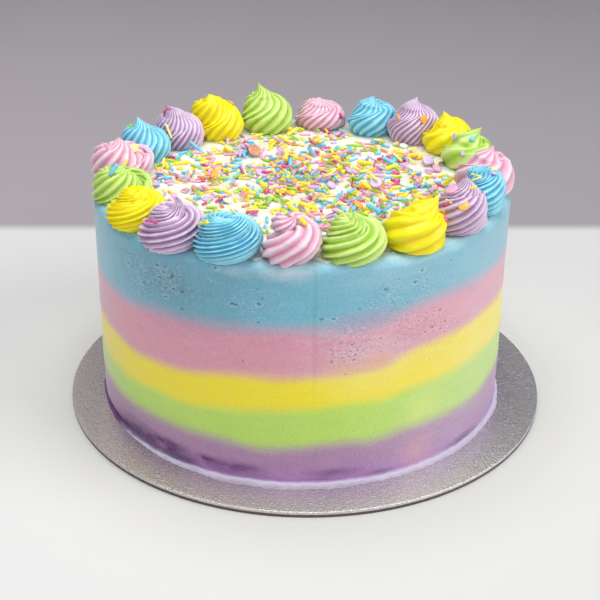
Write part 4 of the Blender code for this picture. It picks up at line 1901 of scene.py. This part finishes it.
class Bed:
    """A height map of the cake's top that rises as sprinkles come to rest on it.

    A steep tilt is disliked: it counts as so much more height for each unit of slope.
    """

    dislike = 0.3 * MM
    margin = 12
    squareness = 4

    def __init__(self, coat: TopIcing, reach: float, cell: float) -> None:
        """Start from the bare coat.

        Args:
            coat: the icing on the top.
            reach: how far from the axis the bed goes.
            cell: the width of one cell.
        """
        self.cell = cell
        self.half = int(reach / cell) + self.margin
        steps = (np.arange(2 * self.half + 1) - self.half) * cell
        self.across, self.along = np.meshgrid(steps, steps)
        self.level = coat.level + coat.swell(self.across, self.along)

    def heights(self, spots: np.ndarray) -> np.ndarray:
        """The level at each spot, measured from the cake's axis."""
        columns, rows = np.clip(np.rint(spots.T / self.cell).astype(int) + self.half, 0, 2 * self.half)
        return self.level[rows, columns]

    def settle(self, spot: np.ndarray, samples: np.ndarray, slopes: np.ndarray) -> tuple[float, np.ndarray]:
        """Lower a flat-sided thing until it is held up.

        Args:
            spot: where its middle is.
            samples: offsets from the middle at which it may touch.
            slopes: the tilts to try, as rise over run along X and Y.

        Returns:
            How high the middle of its underside lies, and the tilt that lies lowest.
        """
        levels = self.heights(spot + samples)
        touching = (levels[None, :] - slopes @ samples.T).max(1)
        best = int((touching + self.dislike * np.hypot(slopes[:, 0], slopes[:, 1])).argmin())
        return float(touching[best]), slopes[best]

    def pile(self, spot: np.ndarray, base: float, slope: np.ndarray, way: np.ndarray, half: float,
             radius: float, height: float) -> None:
        """Raise the bed by a sprinkle.

        Args:
            spot: the sprinkle's middle.
            base: the height of its underside there.
            slope: its tilt.
            way: the direction in which it is long.
            half: half its straight length.
            radius: how far it reaches sideways.
            height: how thick it is.
        """
        reach = int((half + radius) / self.cell) + 2
        column = int(round(spot[0] / self.cell)) + self.half
        row = int(round(spot[1] / self.cell)) + self.half
        rows = slice(max(row - reach, 0), row + reach + 1)
        columns = slice(max(column - reach, 0), column + reach + 1)
        dx, dy = self.across[rows, columns] - spot[0], self.along[rows, columns] - spot[1]
        run = np.clip(dx * way[0] + dy * way[1], -half, half)
        away = np.hypot(dx - run * way[0], dy - run * way[1])
        swell = np.sqrt(np.clip(1 - (away / radius) ** self.squareness, 0, 1))
        top = base + slope[0] * dx + slope[1] * dy + height * (0.5 + 0.5 * swell)
        level = self.level[rows, columns]
        self.level[rows, columns] = np.where(away < radius, np.maximum(level, top), level)


YELLOW = screen(255, 226, 20)
CREAM = screen(252, 240, 128)
LIME = screen(160, 208, 22)
SKY = screen(100, 202, 238)
ROSE = screen(246, 165, 200)
MAGENTA = screen(222, 50, 135)
LILAC = screen(208, 184, 222)
ORANGE = screen(248, 175, 60)
BRONZE = screen(212, 140, 95)
MINT = screen(215, 236, 215)
WHITE = screen(250, 248, 242)


class Stuck(NamedTuple):
    """A sprinkle on the swirls: its place in the picture, its thickness or width in mm and its colour.

    The place is one end of a long one, whose other end is given last, and the middle of a disc.
    """

    start: tuple[float, float]
    size: float
    colour: Colour
    end: Optional[tuple[float, float]] = None


STUCK: dict[Sugar, tuple[Stuck, ...]] = {
    Sugar.STRAND: (
        Stuck((124, 166), 1.3, YELLOW, (128, 159)), Stuck((155, 168), 1.4, YELLOW, (160, 172)),
        Stuck((145, 221), 1.3, MAGENTA, (157, 223)), Stuck((199, 222), 1.2, CREAM, (208, 220)),
        Stuck((230, 209), 1.2, CREAM, (235, 213)), Stuck((320, 224), 1.6, YELLOW, (326, 220)),
        Stuck((353, 207), 1.2, ROSE, (367, 214)), Stuck((356, 212), 1.2, LIME, (368, 216)),
        Stuck((375, 217), 1.1, SKY, (396, 204)), Stuck((446, 199), 1.3, YELLOW, (452, 203)),
        Stuck((443, 205), 1.6, MAGENTA, (449, 203)), Stuck((444, 217), 1.4, MAGENTA, (446, 222)),
        Stuck((471, 174), 1.1, CREAM, (482, 177)), Stuck((472, 181), 1.2, CREAM, (482, 178)),
        Stuck((470, 189), 1.3, YELLOW, (477, 186)), Stuck((491, 173), 1.6, LILAC, (497, 175)),
        Stuck((398, 115), 1.4, ORANGE, (400, 120)), Stuck((339, 113), 1.6, MAGENTA, (342, 119)),
        Stuck((228, 102), 1.8, ORANGE, (233, 103)), Stuck((166, 124), 1.4, CREAM, (172, 139)),
        Stuck((164, 107), 1.8, MAGENTA, (170, 109)),
    ),
    Sugar.ROD: (
        Stuck((110, 175), 2.2, SKY, (118, 164)), Stuck((199, 225), 1.8, YELLOW, (209, 223)),
        Stuck((300, 219), 2.2, YELLOW, (306, 225)), Stuck((443, 187), 2.3, YELLOW, (455, 177)),
        Stuck((190, 142), 1.8, SKY, (204, 154)),
    ),
    Sugar.DISC: (
        Stuck((134, 148), 4.6, CREAM), Stuck((174, 196), 3.2, ROSE), Stuck((285, 213), 3.2, LIME),
        Stuck((447, 180), 6.0, SKY), Stuck((452, 190), 6.2, ROSE), Stuck((464, 206), 5.4, ORANGE),
        Stuck((443, 212), 3.0, ORANGE), Stuck((493, 169), 3.4, CREAM), Stuck((472, 139), 3.0, SKY),
        Stuck((455, 137), 4.4, LILAC), Stuck((463, 154), 2.6, LILAC), Stuck((423, 119), 5.0, ORANGE),
        Stuck((131, 126), 2.6, LIME),
    ),
}


@dataclass(frozen=True)
class Sprinkles:
    """Everything scattered on the cake: a heap on the top and single pieces on the swirls.

    A single piece whose ends would come to rest further apart than the widest gap is laid at the nearer
    end's depth. Where a line of sight passes over the icing, the next ones below it are tried.
    """

    shapes: tuple[SprinkleShape, ...] = (
        SprinkleShape(Sugar.STRAND, 1020, 8, 0.42, (2.8, 6.8), (0.6, 0.86), (
            (YELLOW, 0.17), (CREAM, 0.13), (LIME, 0.15), (SKY, 0.16), (ROSE, 0.16), (MAGENTA, 0.05),
            (LILAC, 0.11), (ORANGE, 0.03), (BRONZE, 0.03), (WHITE, 0.01))),
        SprinkleShape(Sugar.ROD, 52, 12, 0.30, (6.0, 9.5), (1.0, 1.25), (
            (YELLOW, 0.58), (SKY, 0.42))),
        SprinkleShape(Sugar.DISC, 52, 16, 0.30, (0.8, 1.1), (2.0, 3.6), (
            (ORANGE, 0.14), (BRONZE, 0.16), (LILAC, 0.2), (ROSE, 0.15), (MINT, 0.1), (CREAM, 0.1),
            (SKY, 0.15))),
    )
    reach: float = 78 * MM
    heap: tuple[float, float] = (10 * MM, -4 * MM)
    heap_spread: float = 36 * MM
    heap_share: float = 0.38
    steepest: float = 0.6
    rod_tilts: int = 13
    rod_samples: int = 7
    disc_tilts: int = 7
    disc_samples: int = 8
    disc_rings: tuple[float, float] = (0.5, 0.9)
    sunk: float = 0.1 * MM
    cell: float = 0.5 * MM
    widest_gap: float = 14 * MM
    stuck_length: tuple[float, float] = (3 * MM, 10 * MM)
    stuck_lift: float = 0.7
    disc_thickness: float = 0.9 * MM
    disc_lift: float = 0.5 * MM
    sight_pixels: int = 16
    sight_share: float = 0.8
    seed: int = 11
    finish: SugarShell = SugarShell()

    def landing(self, draw: random.Random) -> np.ndarray:
        """Choose where the next sprinkle lands, mostly on the heap.

        Args:
            draw: the source of chance.

        Returns:
            The place, measured from the cake's axis.
        """
        while True:
            if draw.random() < self.heap_share:
                spot = np.array([draw.gauss(middle, self.heap_spread) for middle in self.heap])
            else:
                spot = np.array([draw.uniform(-1, 1), draw.uniform(-1, 1)]) * self.reach
            if math.hypot(*spot) < self.reach:
                return spot

    def drop(self, shape: SprinkleShape, bed: Bed, draw: random.Random) -> Sprinkle:
        """Let one sprinkle fall on the bed.

        Args:
            shape: its kind.
            bed: what lies there already.
            draw: the source of chance.

        Returns:
            The sprinkle at rest.
        """
        spot = self.landing(draw)
        heading = draw.uniform(0, math.tau)
        way = np.array([math.cos(heading), math.sin(heading)])
        length, radius = draw.uniform(*shape.length) * MM, draw.uniform(*shape.radius) * MM
        colours, weights = zip(*shape.colours)
        colour = draw.choices(colours, weights)[0]
        if shape.sugar is Sugar.DISC:
            turns = np.linspace(0, math.tau, self.disc_samples, endpoint=False)
            rim = np.stack([np.cos(turns), np.sin(turns)], 1) * radius
            steps = np.linspace(-self.steepest, self.steepest, self.disc_tilts)
            slopes = np.stack(np.meshgrid(steps, steps), -1).reshape(-1, 2)
            samples = np.concatenate([rim * share for share in self.disc_rings])
            base, slope = bed.settle(spot, samples, slopes)
            bed.pile(spot, base, slope, way, 0.0, radius, length)
            axis = Vector((-slope[0], -slope[1], 1)).normalized()
            lift = length / 2
        else:
            half = length / 2 - radius
            samples = np.linspace(-half, half, self.rod_samples)[:, None] * way
            slopes = np.linspace(-self.steepest, self.steepest, self.rod_tilts)[:, None] * way
            base, slope = bed.settle(spot, samples, slopes)
            bed.pile(spot, base, slope, way, half, radius, 2 * radius)
            axis = Vector((way[0], way[1], float(slope @ way))).normalized()
            lift = radius
        middle = CAKE_AXIS + Vector((spot[0], spot[1], base + lift - self.sunk))
        return Sprinkle(shape.sugar, middle, axis, length, radius, colour)

    def scatter(self, coat: TopIcing) -> list[Sprinkle]:
        """Let every sprinkle of the heap fall, the kinds mixed.

        Args:
            coat: the icing they fall on.

        Returns:
            The sprinkles at rest.
        """
        draw = random.Random(self.seed)
        bed = Bed(coat, self.reach, self.cell)
        order = [shape for shape in self.shapes for _ in range(shape.count)]
        draw.shuffle(order)
        return [self.drop(shape, bed, draw) for shape in order]

    def struck(self, view: Viewpoint, ground: BVHTree, spot: tuple[float, float]) -> tuple[Vector, Vector]:
        """Where a line of sight meets the icing, or the next one below it that does.

        Args:
            view: the camera.
            ground: the icing's surface.
            spot: the point in the picture.

        Returns:
            The place, and the surface's direction there.
        """
        for lower in range(self.sight_pixels):
            place, facing, _, _ = ground.ray_cast(view.place, view.sight(spot[0], spot[1] + lower))
            if place:
                return place, facing
        raise ValueError(f"nothing is seen at {spot}")

    def stick(self, sugar: Sugar, piece: Stuck, view: Viewpoint, ground: BVHTree) -> Sprinkle:
        """Put a single piece on the swirls where the picture shows it.

        Args:
            sugar: its shape.
            piece: the piece.
            view: the camera.
            ground: the icing's surface.

        Returns:
            The sprinkle at rest.
        """
        spots = (piece.start, piece.end or piece.start)
        (first, facing), (last, other) = (self.struck(view, ground, spot) for spot in spots)
        if (last - first).length > self.widest_gap:
            depth = min((place - view.place).length for place in (first, last))
            first, last = (view.place + view.sight(*spot) * depth for spot in spots)
        facing = (facing + other + (view.place - first).normalized() * self.sight_share).normalized()
        middle = (first + last) / 2
        radius = piece.size / 2 * MM
        if sugar is Sugar.DISC:
            middle += facing * self.disc_lift
            return Sprinkle(sugar, middle, facing, self.disc_thickness, radius, piece.colour)
        axis = last - first
        shortest, longest = self.stuck_length
        length = min(max(axis.length, shortest), longest)
        middle += facing * radius * self.stuck_lift
        return Sprinkle(sugar, middle, axis.normalized(), length, radius, piece.colour)

    def gather(self, name: str, shape: SprinkleShape, sprinkles: list[Sprinkle], tree: SprinkleTree,
               sugar: bpy.types.Material) -> bpy.types.Object:
        """Make one piece of all the sprinkles of a kind.

        Args:
            name: the piece's name.
            shape: the kind.
            sprinkles: the sprinkles at rest.
            tree: what shapes them.
            sugar: their material.

        Returns:
            The piece.
        """
        mesh = bpy.data.meshes.new(name)
        mesh.from_pydata([tuple(sprinkle.middle) for sprinkle in sprinkles], [], [])
        turns = [tuple(sprinkle.axis.to_track_quat("Z", "Y").to_euler()) for sprinkle in sprinkles]
        keep(mesh, "turn", "FLOAT_VECTOR", turns)
        sizes = [(sprinkle.radius, sprinkle.radius, sprinkle.length / 2) for sprinkle in sprinkles]
        keep(mesh, "stretch", "FLOAT_VECTOR", sizes)
        keep(mesh, "tint", "FLOAT_COLOR", [sprinkle.colour for sprinkle in sprinkles])
        item = new_item(name, mesh)
        tree.grow(item, {"Segments": shape.segments, "Rounding": shape.rounding, "Finish": sugar})
        return settle_piece(item)

    def build(self, coat: TopIcing, icing: Sequence[bpy.types.Object]) -> None:
        """Scatter the heap on the coat and stick the single pieces on the icing.

        Args:
            coat: the icing on the top.
            icing: the objects that single pieces may lie on.
        """
        tree, sugar = SprinkleTree(), self.finish.material()
        heap = self.scatter(coat)
        view, ground = Viewpoint(), BVHTree.FromPolygons(*joined(icing))
        for shape in self.shapes:
            fallen = [sprinkle for sprinkle in heap if sprinkle.sugar is shape.sugar]
            stuck = [self.stick(shape.sugar, piece, view, ground) for piece in STUCK[shape.sugar]]
            for place, sprinkles in (("top", fallen), ("swirl", stuck)):
                self.gather(f"{place}_{shape.sugar.value}", shape, sprinkles, tree, sugar)


def main() -> None:
    """Build the studio and every piece of the cake, in order."""
    logging.basicConfig(level=logging.INFO, format="%(name)s: %(message)s")
    Viewpoint().build()
    Studio().build()
    CakeCard().build()
    SideIcing().build()
    coat = TopIcing()
    icing = [coat.build()] + SwirlRing().build()
    Sprinkles().build(coat, icing)


if __name__ == "__main__":
    main()
